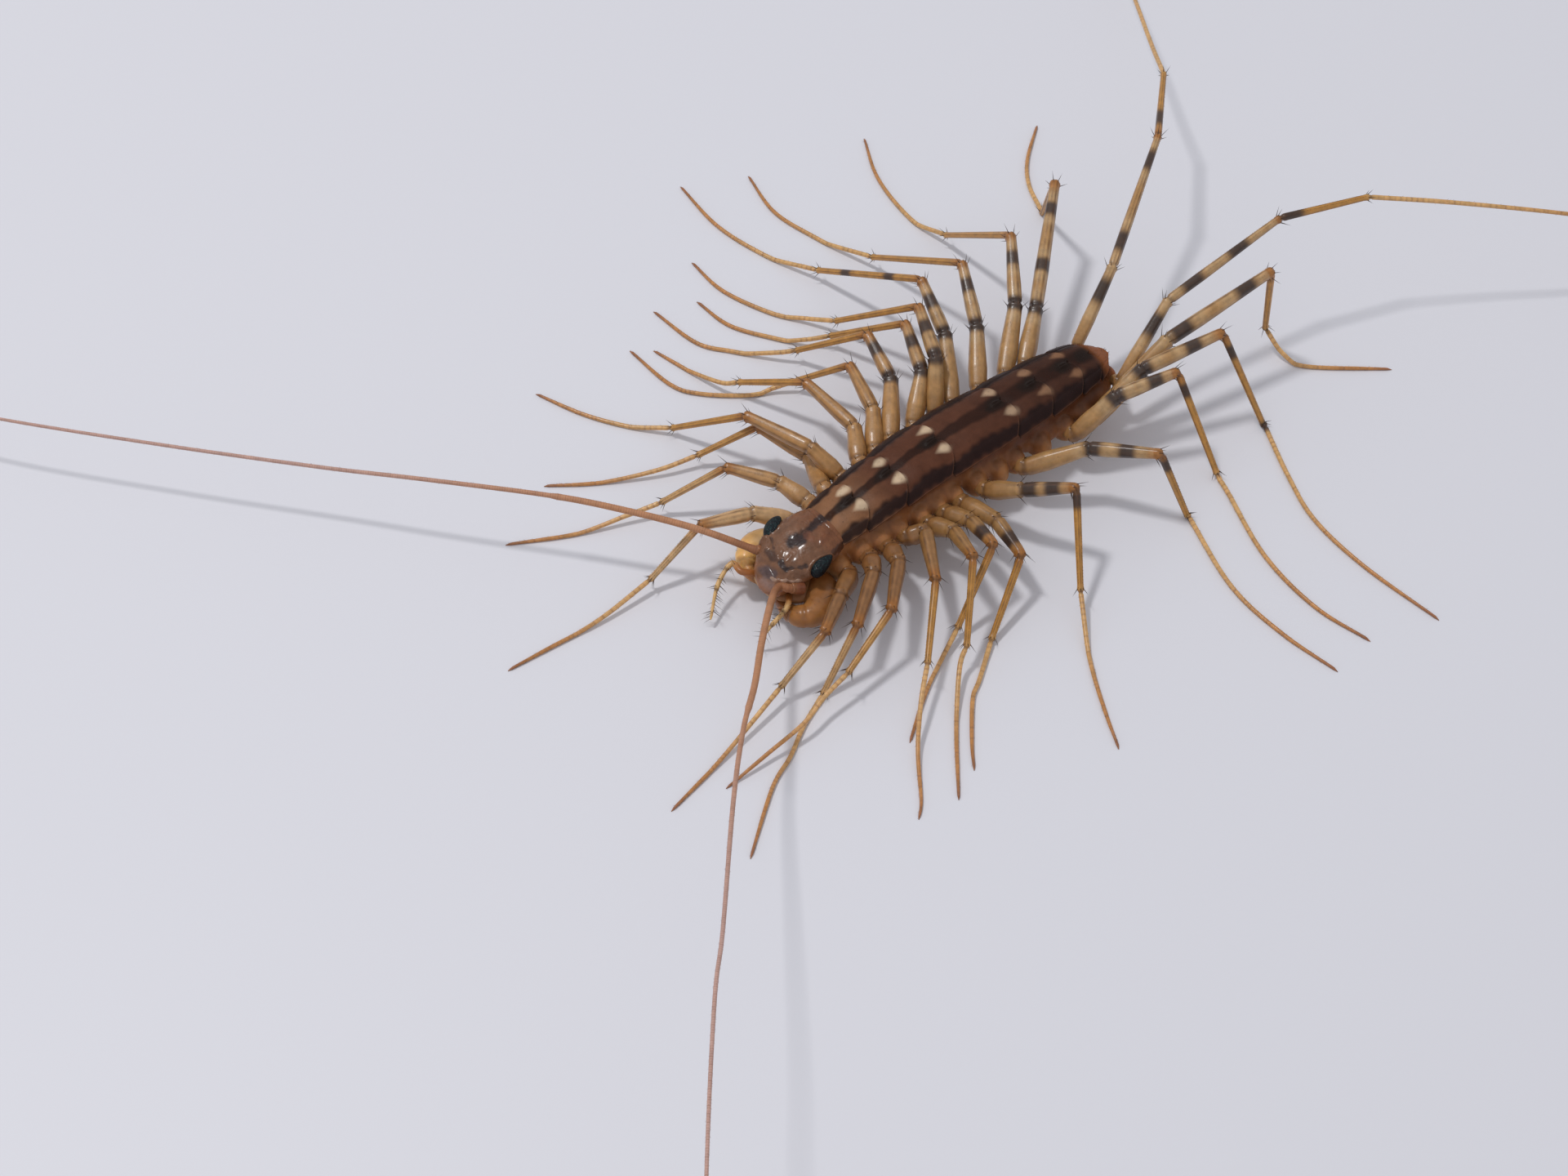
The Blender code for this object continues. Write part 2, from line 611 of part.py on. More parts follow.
def main():
    for obj in list(bpy.data.objects):
        bpy.data.objects.remove(obj)
    parts = new_collection("house_centipede")
    cutters = new_collection("cutters")

    trunk(parts)
    paint(head(parts, cutters), "head")
    for side, sign in (("right", -1), ("left", 1)):
        eye = ellipsoid(f"eye_{side}", mirror_x(EYE_CENTRE, sign), EYE_RADII, parts)
        paint(eye, "eye")
        paint(claw(side, parts), "claw")
    paint(antenna("right", RIGHT_ANTENNA, parts), "antenna")
    paint(antenna("left", LEFT_ANTENNA, parts), "antenna")
    paint(palp("right", RIGHT_PALP, parts), "leg")
    paint(palp("left", LEFT_PALP, parts), "leg")
    for side, legs in (("right", RIGHT_LEGS), ("left", LEFT_LEGS)):
        for pair in legs:
            paint(leg(pair, side, parts), "leg")

    for obj in parts.objects:
        for vert in obj.data.vertices:
            vert.co = [vert.co[axis] + BODY_PLACE[axis] * MM for axis in range(3)]


main()
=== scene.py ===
"""Looks of the house centipede: plates, skin, head, limbs, lights and camera.

World units are metres. Lengths of the animal are millimetres in its own frame until a
mesh is made; those of the floor and the lights are metres.
"""

import math

import bpy
import numpy as np
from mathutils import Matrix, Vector


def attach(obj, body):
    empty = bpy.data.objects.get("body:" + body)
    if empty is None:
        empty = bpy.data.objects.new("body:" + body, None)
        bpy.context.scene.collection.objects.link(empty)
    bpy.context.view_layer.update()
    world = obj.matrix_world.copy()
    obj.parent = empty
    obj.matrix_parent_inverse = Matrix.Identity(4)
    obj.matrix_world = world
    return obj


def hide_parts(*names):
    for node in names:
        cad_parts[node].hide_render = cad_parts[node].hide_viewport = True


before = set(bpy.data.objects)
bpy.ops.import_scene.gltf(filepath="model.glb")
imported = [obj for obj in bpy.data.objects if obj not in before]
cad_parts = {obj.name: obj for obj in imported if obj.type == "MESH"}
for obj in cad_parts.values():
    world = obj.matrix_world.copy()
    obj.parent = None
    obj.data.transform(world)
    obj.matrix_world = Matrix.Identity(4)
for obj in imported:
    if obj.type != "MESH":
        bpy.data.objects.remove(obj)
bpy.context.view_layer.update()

MM = 0.001

# Where the animal's own frame lies in the shared one, as in the solids
BODY_PLACE = np.array([2.28, -0.48, 0.0])
SIDES = {"right": -1, "left": 1}

# View of the reference photograph
IMAGE_CENTRE = (960.0, 720.0)
LENS_MM = 64.0
SENSOR_MM = 36.0
FOCAL_PIXELS = LENS_MM / SENSOR_MM * 2 * IMAGE_CENTRE[0]
VIEW_AZIMUTH = math.radians(50.72)
VIEW_ELEVATION = math.radians(50.25)
VIEW_DISTANCE = 162.0
VIEW_AIM = np.array([-0.34, -11.6, 0.0])

# Trunk, as in the solids
STATIONS = (-8.8, -7.0, -4.0, 0.0, 4.5, 7.5, 10.0, 12.0, 13.3)
HALF_WIDTHS = (1.75, 2.0, 2.2, 2.35, 2.3, 2.2, 1.95, 1.5, 0.55)
CROWN_HEIGHTS = (4.35, 4.7, 4.95, 5.1, 5.15, 5.05, 4.85, 4.5, 3.8)
BELLY_HEIGHT = 1.7
BELLY_RISE_AT_TAIL = 0.9
SWAY = -0.25
SWAY_MIDDLE = -1.0
SWAY_REACH = 4.0
PLATE_DROP = 0.8
NOTCH_DEPTH = 0.35
NECK = -8.75
BELLY_RISE = (10.05, 13.3)
ROOT_ALONG = (-9.15, -7.75, -6.4, -5.05, -3.45, -2.15, -0.85, 0.9, 2.5, 3.85,
              5.9, 7.95, 9.4, 11.1, 12.7)
ROOT_HEIGHT = 2.55
END_ROOT_HEIGHTS = {1: 2.0, 15: 2.9}
ROOT_OUT = 0.35
COXA_LIFT = 0.15
TROCHANTER_REACH = 0.6
LAST_PAIR = 15

# Legs and antennae on the photograph, as in the solids: (column, row, height), or (column, row) on the floor
RIGHT_LEGS = {
    1: ((922, 628, 3.0), (857, 643, 3.2), (797, 709, 0.9), (735, 758, 0.3), (673, 795), (622, 822)),
    2: ((955, 590, 3.1), (889, 572, 3.4), (810, 615, 1.0), (768, 631, 0.6), (702, 655, 0.1), (619, 668)),
    3: ((991, 559, 2.0), (928, 522, 2.8), (855, 557, 0.9), (804, 576, 0.5), (730, 592, 0.1), (666, 596)),
    4: ((993, 548, 3.9), (914, 509, 3.9), (824, 524, 0.6), (766, 522, 0.1), (712, 508), (656, 483)),
    5: ((1046, 522, 3.2), (987, 468, 3.5), (905, 468, 1.2), (881, 468, 0.7), (830, 448), (800, 430)),
    6: ((1069, 501, 3.4), (1041, 447, 3.8), (976, 466, 0.9), (948, 475, 0.4), (916, 486), (858, 484),
        (820, 472), (771, 430)),
    7: ((1091, 464, 3.6), (1062, 409, 4.4), (976, 429, 1.0), (948, 432, 0.6), (896, 432), (852, 421),
        (800, 382)),
    8: ((1129, 455, 4.2), (1109, 396, 4.8), (1018, 411, 1.0), (986, 416, 0.5), (948, 416), (893, 400),
        (853, 370)),
    9: ((1146, 438, 4.9), (1125, 375, 5.4), (1024, 393, 1.0), (986, 390, 0.4), (941, 384), (884, 357),
        (847, 322)),
    10: ((1157, 409, 4.2), (1128, 342, 5.6), (1002, 331, 0.9), (932, 312), (877, 277), (833, 229)),
    11: ((1196, 400, 4.2), (1178, 322, 5.8), (1069, 315, 1.0), (999, 293), (948, 261), (916, 216)),
    12: ((1243, 374, 4.4), (1238, 288, 6.1), (1158, 288, 0.9), (1113, 268), (1075, 220), (1058, 170)),
    13: ((1268, 379, 4.0), (1292, 223, 6.2), (1276, 262), (1260, 229), (1258, 197), (1270, 154)),
    15: ((1362, 327, 6.3), (1418, 167, 8.0), (1425, 90, 7.4), (1411, 57, 6.6), (1390, 0, 5.6),
        (1372, -45, 3.4), (1358, -80, 1.2), (1352, -98)),
}
LEFT_LEGS = {
    1: ((1029, 730, 3.0), (1010, 774, 3.2), (956, 841, 1.1), (880, 933, 0.2), (822, 994)),
    2: ((1070, 701, 3.0), (1050, 765, 3.3), (1008, 849, 0.3), (985, 889), (968, 928), (946, 966),
        (919, 1052)),
    3: ((1101, 688, 3.1), (1092, 746, 3.5), (1039, 823, 1.9), (1009, 854, 1.5), (985, 885, 1.1),
        (941, 922, 0.6), (889, 966)),
    4: ((1133, 648, 3.2), (1146, 710, 3.2), (1136, 811, 1.9), (1128, 859, 1.35), (1124, 918, 0.4),
        (1128, 981), (1125, 1004)),
    5: ((1168, 650, 3.2), (1192, 682, 4.3), (1184, 790, 1.5), (1175, 819, 0.9), (1171, 898), (1174, 980)),
    6: ((1188, 637, 3.2), (1217, 667, 4.0), (1173, 768, 0.7), (1138, 839), (1114, 910)),
    7: ((1220, 637, 3.2), (1251, 680, 2.9), (1214, 783, 0.3), (1199, 835), (1191, 858), (1190, 911),
        (1193, 944)),
    8: ((1250, 600, 3.8), (1318, 597, 5.2), (1323, 723, 1.2), (1335, 813), (1352, 870), (1370, 918)),
    10: ((1331, 549, 4.0), (1422, 556, 5.0), (1455, 634), (1507, 719), (1568, 776), (1638, 823)),
    12: ((1367, 485, 5.0), (1442, 455, 6.0), (1490, 580, 0.3), (1503, 605), (1548, 682), (1609, 744),
        (1678, 786)),
    13: ((1399, 452, 5.2), (1497, 407, 6.4), (1548, 523), (1577, 585), (1609, 638), (1670, 695),
        (1762, 760)),
    14: ((1430, 416, 5.6), (1557, 332, 7.2), (1549, 401, 1.6), (1572, 434, 0.5), (1605, 451), (1704, 453)),
    15: ((1430, 368, 6.3), (1567, 267, 8.4), (1675, 241, 8.3), (1780, 248, 7.4), (1920, 262, 6.0),
        (2000, 276, 4.0), (2070, 296, 1.5), (2110, 312)),
}
LEGS = {"right": RIGHT_LEGS, "left": LEFT_LEGS}
ANTENNAE = {
    "right": ((855, 648, 3.8), (766, 625, 4.4), (675, 607, 4.6), (520, 587, 4.4), (392, 572, 4.0),
        (200, 545, 3.8), (0, 513, 3.6), (-130, 485, 3.2), (-230, 455, 2.6)),
    "left": ((945, 734, 3.6), (933, 785, 4.6), (924, 839, 5.4), (910, 894, 6.6), (898, 981, 8.4),
        (885, 1140, 10.4), (875, 1225, 11.2), (865, 1440, 12.0), (862, 1700, 11.6), (880, 1900, 10.4)),
}

# Middles of the legs' dark bands on the photograph; half their length and its exceptions in millimetres
RIGHT_BANDS = {
    7: ((1091, 464), (1069, 430)),
    8: ((1129, 455), (1116, 422)),
    9: ((1146, 438), (1132, 403)),
    10: ((1157, 409), (1138, 370), (1091, 339), (1037, 333)),
    11: ((1196, 400), (1183, 352)),
    12: ((1243, 374), (1237, 318)),
    13: ((1268, 379), (1281, 328), (1286, 258)),
    15: ((1346, 355), (1373, 297), (1409, 198), (1423, 146)),
}
LEFT_BANDS = {
    6: ((1205, 655),),
    7: ((1233, 665),),
    8: ((1262, 587), (1291, 596), (1317, 614)),
    10: ((1339, 549), (1382, 551), (1425, 569)),
    12: ((1367, 485), (1414, 468), (1450, 478)),
    13: ((1399, 452), (1462, 426), (1506, 431), (1548, 523)),
    14: ((1444, 403), (1524, 354)),
    15: ((1401, 392), (1458, 344), (1510, 297), (1581, 259)),
}
BANDS = {"right": RIGHT_BANDS, "left": LEFT_BANDS}
BAND_HALF = 0.46
BAND_REACH = {("left", 15): 0.75, ("right", 15): 0.75, ("left", 14): 0.7, ("left", 13): 0.5}


def view_axes():
    sin_a, cos_a = math.sin(VIEW_AZIMUTH), math.cos(VIEW_AZIMUTH)
    sin_e, cos_e = math.sin(VIEW_ELEVATION), math.cos(VIEW_ELEVATION)
    back = np.array([sin_a * cos_e, -cos_a * cos_e, sin_e])
    right = np.array([cos_a, sin_a, 0.0])
    return right, np.cross(back, right), back


VIEW_RIGHT, VIEW_UP, VIEW_BACK = view_axes()
VIEW_EYE = VIEW_AIM + VIEW_BACK * VIEW_DISTANCE


def photo_point(column, row, height=0.0):
    """The place at a height above the floor that the photograph shows at a pixel."""
    ray = -VIEW_BACK
    ray = ray + VIEW_RIGHT * (column - IMAGE_CENTRE[0]) / FOCAL_PIXELS
    ray = ray - VIEW_UP * (row - IMAGE_CENTRE[1]) / FOCAL_PIXELS
    return VIEW_EYE + ray * (height - VIEW_EYE[2]) / ray[2]


def photo_points(readings):
    return [photo_point(*reading) for reading in readings]


def photo_pixels(points):
    """Where the photograph shows points of the body's frame."""
    offset = np.asarray(points) - VIEW_EYE
    depth = -(offset @ VIEW_BACK)
    columns = IMAGE_CENTRE[0] + FOCAL_PIXELS * (offset @ VIEW_RIGHT) / depth
    rows = IMAGE_CENTRE[1] - FOCAL_PIXELS * (offset @ VIEW_UP) / depth
    return np.stack([columns, rows], axis=1)


def srgb(red, green, blue):
    """A colour read as 0 to 255, as linear values."""
    share = np.array([red, green, blue]) / 255.0
    return np.where(share <= 0.04045, share / 12.92, ((share + 0.055) / 1.055) ** 2.4)


def unit(vector):
    return vector / np.linalg.norm(vector)


def turns(count):
    """Even angles round a ring."""
    return np.linspace(0, math.tau, count, endpoint=False)


def ramp(low, high, value):
    """0 up to low, 1 from high on, and a soft rise between."""
    share = np.clip((value - low) / (high - low), 0.0, 1.0)
    return share * share * (3.0 - 2.0 * share)


def bell(gap, reach):
    """1 where there is no gap, and almost 0 at twice the reach."""
    return np.exp(-(gap / reach) ** 2)


def blend(under, over, share):
    share = np.asarray(share)[..., None]
    return under * (1.0 - share) + over * share


def painted(tint, *coats):
    """A tint under coats of paint, each a colour and how much of it covers."""
    for colour, share in coats:
        tint = blend(tint, colour, share)
    return tint


def squared(values, power):
    """Sines or cosines pressed outwards, which makes a round outline squarer."""
    return np.sign(values) * np.abs(values) ** power


def smooth_table(places, values, at):
    """A smooth curve through a short table of values."""
    places = np.asarray(places, float)
    values = np.asarray(values, float)
    slopes = np.gradient(values, places)
    at = np.clip(np.asarray(at, float), places[0], places[-1])
    index = np.clip(np.searchsorted(places, at) - 1, 0, len(places) - 2)
    width = places[index + 1] - places[index]
    t = (at - places[index]) / width
    return ((1 + 2 * t) * (1 - t) ** 2 * values[index]
            + t * (1 - t) ** 2 * width * slopes[index]
            + t * t * (3 - 2 * t) * values[index + 1]
            + t * t * (t - 1) * width * slopes[index + 1])


def sway(along):
    return SWAY * bell(np.asarray(along) - SWAY_MIDDLE, SWAY_REACH)


def half_width(along):
    return smooth_table(STATIONS, HALF_WIDTHS, along)


def crown(along):
    return smooth_table(STATIONS, CROWN_HEIGHTS, along)


def belly(along):
    rise = np.clip((np.asarray(along) - BELLY_RISE[0]) / (BELLY_RISE[1] - BELLY_RISE[0]), 0, 1)
    return BELLY_HEIGHT + BELLY_RISE_AT_TAIL * rise


def grid_faces(rows, columns, closed):
    """Faces of a grid of points, wrapped round when its rows are rings."""
    faces = []
    for near in range(0, (rows - 1) * columns, columns):
        far = near + columns
        for column in range(columns if closed else columns - 1):
            after = (column + 1) % columns
            faces.append((near + column, near + after, far + after, far + column))
    return faces


def closed_rings(rings, ends=None, reverse=True):
    """Points and faces of a closed shape through rings; reverse turns its faces over."""
    count, sides = len(rings), len(rings[0])
    if ends is None:
        ends = (rings[0].mean(0), rings[-1].mean(0))
    faces = grid_faces(count, sides, True)
    base, first, last = (count - 1) * sides, count * sides, count * sides + 1
    for column in range(sides):
        after = (column + 1) % sides
        faces += [(after, column, first), (base + column, base + after, last)]
    if reverse:
        faces = [tuple(reversed(face)) for face in faces]
    return np.vstack([*rings, *ends]), faces


def new_mesh(name, points, faces):
    mesh = bpy.data.meshes.new(name)
    mesh.from_pydata([tuple(point) for point in points], [], faces)
    return mesh


def new_object(name, data):
    obj = bpy.data.objects.new(name, data)
    bpy.context.scene.collection.objects.link(obj)
    return obj


class Surface:
    """Points, faces and a tint for each point, gathered from several shapes."""

    def __init__(self):
        self.points = []
        self.faces = []
        self.tints = []
        self.spots = []
        self.count = 0

    def add(self, points, faces, tints, spots=None):
        points = np.asarray(points, float)
        self.points.append(points)
        self.tints.append(np.broadcast_to(tints, (len(points), 3)))
        if spots is not None:
            self.spots.append(spots)
        self.faces += [tuple(corner + self.count for corner in face) for face in faces]
        self.count += len(points)

    def add_rings(self, rings, tints, ends=None, reverse=True):
        """A closed shape through rings, with a tint for each of their points."""
        tints = tints.reshape(-1, 3)
        self.add(*closed_rings(rings, ends, reverse), np.vstack([tints, tints[:1], tints[-1:]]))

    def make(self, name, material, nodes=()):
        """A piece of the scene; spots, where there are any, become its OFBake map."""
        mesh = new_mesh(name, (np.concatenate(self.points) + BODY_PLACE) * MM, self.faces)
        tints = np.concatenate(self.tints)
        layer = mesh.color_attributes.new("Tint", "FLOAT_COLOR", "POINT")
        layer.data.foreach_set("color", np.hstack([tints, np.ones((len(tints), 1))]).ravel())
        if self.spots:
            corners = np.zeros(len(mesh.loops), int)
            mesh.loops.foreach_get("vertex_index", corners)
            uv = mesh.uv_layers.new(name="OFBake")
            uv.data.foreach_set("uv", np.concatenate(self.spots)[corners].ravel())
        mesh.materials.append(material)
        mesh.shade_smooth()
        mesh.validate()
        obj = new_object(name, mesh)
        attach(obj, "root")
        if nodes:
            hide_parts(*nodes)


def course_frames(course):
    """Directions ahead, sideways and up along a course, which turn as little as they can."""
    ahead = np.gradient(course, axis=0)
    ahead /= np.linalg.norm(ahead, axis=1)[:, None]
    top = np.array([0.0, 0.0, 1.0])
    tops = []
    for direction in ahead:
        top = unit(top - direction * (top @ direction))
        tops.append(top)
    return ahead, np.cross(ahead, tops), np.array(tops)


RIDGE_COUNT = 5
END_BULGE = 0.3


def add_tube(surface, course, radii, tints, sides, wide=1.0, ridges=0.0):
    """A closed tube along a course; tints hold one colour for each point of it, or for each side too."""
    ahead, side, top = course_frames(course)
    angles = turns(sides)
    swell = 1.0 + ridges * np.cos(RIDGE_COUNT * angles)
    rings = (course[:, None, :]
             + (radii[:, None] * np.cos(angles) * swell * wide)[..., None] * side[:, None, :]
             + (radii[:, None] * np.sin(angles) * swell)[..., None] * top[:, None, :])
    ends = (course[0] - ahead[0] * radii[0] * END_BULGE, course[-1] + ahead[-1] * radii[-1] * END_BULGE)
    if tints.ndim == 2:
        tints = np.repeat(tints, sides, axis=0)
    surface.add_rings(rings, tints, ends, reverse=False)


def make_tube(name, material, slot, *tube, **more):
    """A piece that is one tube and stands for one solid."""
    surface = Surface()
    add_tube(surface, *tube, **more)
    surface.make(name + "_shell", material, [name])


# Bristles

BRISTLE_BROWN = srgb(62, 40, 28)
TOOTH_BROWN = srgb(84, 52, 30)
SHORT_HAIR_RADIUS = 0.009
BRISTLE_RINGS = ((-0.05, 1.0), (0.45, 0.6))
SLANT = np.array([0.3, 0.2, 0.93])
PATCH_ACROSS = 0.003
STRIP_MARGIN = 0.08
PATCH_MARGIN = 0.01
LONGEST_LIMB = 72.0
FLOOR_GAP = 0.02


def add_bristle(surface, root, direction, length, radius, tint, spot):
    """A thin, tapered hair of three sides; spot is its root's place on the unwrapped skin."""
    direction = unit(direction)
    across = unit(np.cross(direction, SLANT))
    over = np.cross(direction, across)
    rows, patch = [], []
    for share, thick in BRISTLE_RINGS:
        centre = root + direction * length * share
        for turn in range(3):
            angle = math.tau * turn / 3
            rows.append(centre + (across * math.cos(angle) + over * math.sin(angle)) * radius * thick)
            reach = PATCH_ACROSS / 2 * thick
            patch.append((spot[0] + reach * math.cos(angle), spot[1] + reach * math.sin(angle)))
    rows.append(root + direction * length)
    patch.append(spot)
    faces = [(0, 2, 1)]
    for turn in range(3):
        after = (turn + 1) % 3
        faces.append((turn, after, after + 3, turn + 3))
        faces.append((turn + 3, after + 3, 6))
    surface.add(rows, faces, tint, patch)


def strip_spot(strip, strips, along, around):
    """A place on an unwrap that has one strip for each limb or plate; shares are 0 to 1."""
    across = (strip + STRIP_MARGIN + (1 - 2 * STRIP_MARGIN) * (around % 1.0)) / strips
    return (PATCH_MARGIN + (1 - 2 * PATCH_MARGIN) * min(max(along, 0.0), 1.0), across)


class Limb:
    """The course and thickness of a limb, for the hairs that grow on it and their strip of the unwrap."""

    def __init__(self, course, at, radii, strip, strips, longest=LONGEST_LIMB):
        self.course, self.at, self.radii = course, at, radii
        self.strip, self.strips, self.longest = strip, strips, longest
        self.breadth, self.sunk = np.ones(len(at)), 0.9
        self.ahead, self.across, self.top = course_frames(course)

    def index(self, distance):
        return min(int(np.searchsorted(self.at, distance)), len(self.at) - 1)

    def hair(self, surface, index, angle, length, radius, lean, tint=BRISTLE_BROWN):
        """A hair that leans towards the limb's end; none grows where it would reach the floor."""
        side = self.across[index] * math.cos(angle)
        top = self.top[index] * math.sin(angle)
        root = self.course[index] + (side * self.breadth[index] + top) * self.radii[index] * self.sunk
        direction = side + top + self.ahead[index] * lean
        if root[2] + unit(direction)[2] * length > FLOOR_GAP:
            spot = strip_spot(self.strip, self.strips, self.at[index] / self.longest, angle / math.tau)
            add_bristle(surface, root, direction, length, radius, tint, spot)

    def drawn_hair(self, surface, draw, index, lengths, radius, lean, tint=BRISTLE_BROWN):
        angle = draw.uniform(0, math.tau)
        self.hair(surface, index, angle, draw.uniform(*lengths), radius, lean, tint)


# Materials

GLOW_COLOUR = (1.0, 0.55, 0.25)
GLOW_DEPTH = 0.35
RELIEF_HEIGHT = 0.03
COAT_ROUGHNESS = 0.12


def set_inputs(node, values):
    for name, value in values.items():
        node.inputs[name].default_value = value


def add_node(tree, kind, values, operation=None, **sources):
    """A shader node with values for some inputs and, for others, the outputs that feed them."""
    node = tree.nodes.new("ShaderNode" + kind)
    if operation:
        node.operation = operation
    set_inputs(node, values)
    for name, source in sources.items():
        tree.links.new(source, node.inputs[name])
    return node


def shell_material(name, roughness, bump_scale, bump_strength, subsurface=0.0, coat=0.0,
                   variation=0.12, variation_scale=1.5, specular=0.5, cells=False):
    """Horny skin: tinted per point, mottled, with a fine relief and a wet gloss."""
    material = bpy.data.materials.new(name)
    material.use_nodes = True
    tree = material.node_tree
    shader = tree.nodes["Principled BSDF"]
    tint = add_node(tree, "VertexColor", {})
    tint.layer_name = "Tint"
    place = add_node(tree, "TexCoord", {}).outputs["Object"]
    mottle = add_node(tree, "TexNoise", {"Scale": variation_scale * 1000, "Detail": 4.0},
                      Vector=place).outputs["Fac"]
    spread = {"From Min": 0.3, "From Max": 0.7, "To Min": 1.0 - variation, "To Max": 1.0 + variation}
    level = add_node(tree, "MapRange", spread, Value=mottle).outputs["Result"]
    colour = add_node(tree, "VectorMath", {}, "SCALE", Vector=tint.outputs["Color"], Scale=level)
    spread = {"To Min": roughness * 0.75, "To Max": roughness * 1.3}
    gloss = add_node(tree, "MapRange", spread, Value=mottle)
    pitch = {"Scale": bump_scale * 1000}
    if cells:
        height = add_node(tree, "TexVoronoi", pitch, Vector=place).outputs["Distance"]
    else:
        height = add_node(tree, "TexNoise", {"Detail": 6.0, **pitch}, Vector=place).outputs["Fac"]
    relief = {"Strength": bump_strength, "Distance": RELIEF_HEIGHT * MM}
    bump = add_node(tree, "Bump", relief, Height=height)
    tree.links.new(colour.outputs["Vector"], shader.inputs["Base Color"])
    tree.links.new(gloss.outputs["Result"], shader.inputs["Roughness"])
    tree.links.new(bump.outputs["Normal"], shader.inputs["Normal"])
    set_inputs(shader, {
        "Specular IOR Level": specular, "Coat Weight": coat, "Coat Roughness": COAT_ROUGHNESS,
        "Subsurface Weight": subsurface, "Subsurface Radius": GLOW_COLOUR,
        "Subsurface Scale": GLOW_DEPTH * MM})
    return material


PLATE_MATERIAL = shell_material("plate", 0.42, 7.0, 0.5, subsurface=0.05, variation=0.16,
                                variation_scale=1.2, specular=0.12)
SKIN_MATERIAL = shell_material("skin", 0.45, 3.0, 0.9, subsurface=0.25, coat=0.04, variation=0.22,
                               specular=0.28)
HEAD_MATERIAL = shell_material("head", 0.36, 6.0, 0.6, subsurface=0.12, coat=0.28, variation=0.22,
                               variation_scale=2.0, specular=0.18, cells=True)
LEG_MATERIAL = shell_material("leg", 0.34, 9.0, 0.4, subsurface=0.25, coat=0.1,
                              variation=0.16, variation_scale=2.5, specular=0.4)
FEELER_MATERIAL = shell_material("feeler", 0.5, 8.0, 0.5, subsurface=0.15, specular=0.3)
EYE_MATERIAL = shell_material("eye", 0.16, 8.0, 0.1, coat=0.1, variation=0.3, specular=0.2)
CLAW_MATERIAL = shell_material("claw", 0.3, 3.0, 0.5, subsurface=0.45, coat=0.08, variation=0.22,
                               specular=0.35)
BRISTLE_MATERIAL = shell_material("bristle", 0.5, 8.0, 0.1, variation=0.05)


# Back plates

PLATE_BROWN = srgb(88, 52, 36)
PLATE_FRONT_BROWN = srgb(134, 93, 64)
PLATE_REAR_BROWN = srgb(66, 39, 28)
STRIPE_DARK = srgb(44, 21, 12)
STOMA_DARK = srgb(30, 18, 12)
STRIPE_SIDE_DARK = srgb(32, 18, 17)
SPOT_CREAM = srgb(204, 178, 148)
SPOT_REAR = srgb(134, 96, 70)
MARGIN_AMBER = srgb(110, 68, 42)
TAIL_ORANGE = srgb(144, 82, 40)
PLATE_REARS = (-6.45, -3.55, 0.0, 4.95, 7.7, 10.35, 12.1, 13.3)
PLATE_ROWS = 90
PLATE_COLUMNS = 121
PLATE_THICK = 0.06
PLATE_TUCK = 0.7
PLATE_CURVE = 3.2
PLATE_RIM = 0.025
CORNER_ROUNDING = 0.95
CORNER_START = 0.35
DARK_COVER = 0.93
STRIPE_HALF = 0.29
STOMA_BLOTCH = (0.42, 0.85)
SIDE_STRIPE_PLACE = 0.85
SIDE_STRIPE_HALF = 0.27
SPOT_PLACES = (0.74, 0.83, 0.89, 0.97, 0.95, 0.93)
SPOT_SIZE = (0.32, 0.48)
NECK_BEAD = (-8.45, 0.2)
REAR_HAIRS = 20
SIDE_HAIRS = 9
TOP_HAIRS = 44
EDGE_HAIR_LENGTHS = (0.07, 0.16)
TOP_HAIR_LENGTHS = (0.05, 0.09)


def plate_point(number, across, share, lift):
    """A point of a back plate: across is -1 to 1, share is 0 at its front edge."""
    rear = PLATE_REARS[number - 1]
    start = PLATE_REARS[number - 2] - PLATE_TUCK if number > 1 else NECK - 0.15
    side = np.abs(across)
    corner = CORNER_ROUNDING * np.clip((side - CORNER_START) / (1 - CORNER_START), 0, 1) ** 2
    notch = NOTCH_DEPTH * bell(across, 0.13) * (number < len(PLATE_REARS))
    along = start + (rear - corner - notch - start) * share
    width = half_width(along) * (1.0 + 0.03 * np.sin(math.pi * share))
    x = sway(along) + across * width
    z = crown(along) - PLATE_DROP * width / max(HALF_WIDTHS) * side ** PLATE_CURVE
    tuck = 0.22 if number > 1 else 0.05
    z = z - tuck * (1 - ramp(0.0, 0.45, share)) + 0.05 * share
    rim = bell(1.0 - side, 0.025) + bell(1.0 - share, 0.02)
    z = z + PLATE_RIM * np.clip(rim, 0, 1) + lift
    z = z - 0.035 * bell(side - 0.72, 0.05)
    if number < len(PLATE_REARS) - 1:
        gap = np.hypot(across * width / 0.2, (along - (rear - NOTCH_DEPTH - 0.35)) / 0.36)
        z = z + (0.09 - 0.05 * bell(across * width, 0.035)) * np.exp(-gap ** 4)
    if number == 1:
        z = z + 0.1 * bell(np.hypot(x, along - NECK_BEAD[0]), NECK_BEAD[1])
    return np.stack([x, along, z], axis=-1)


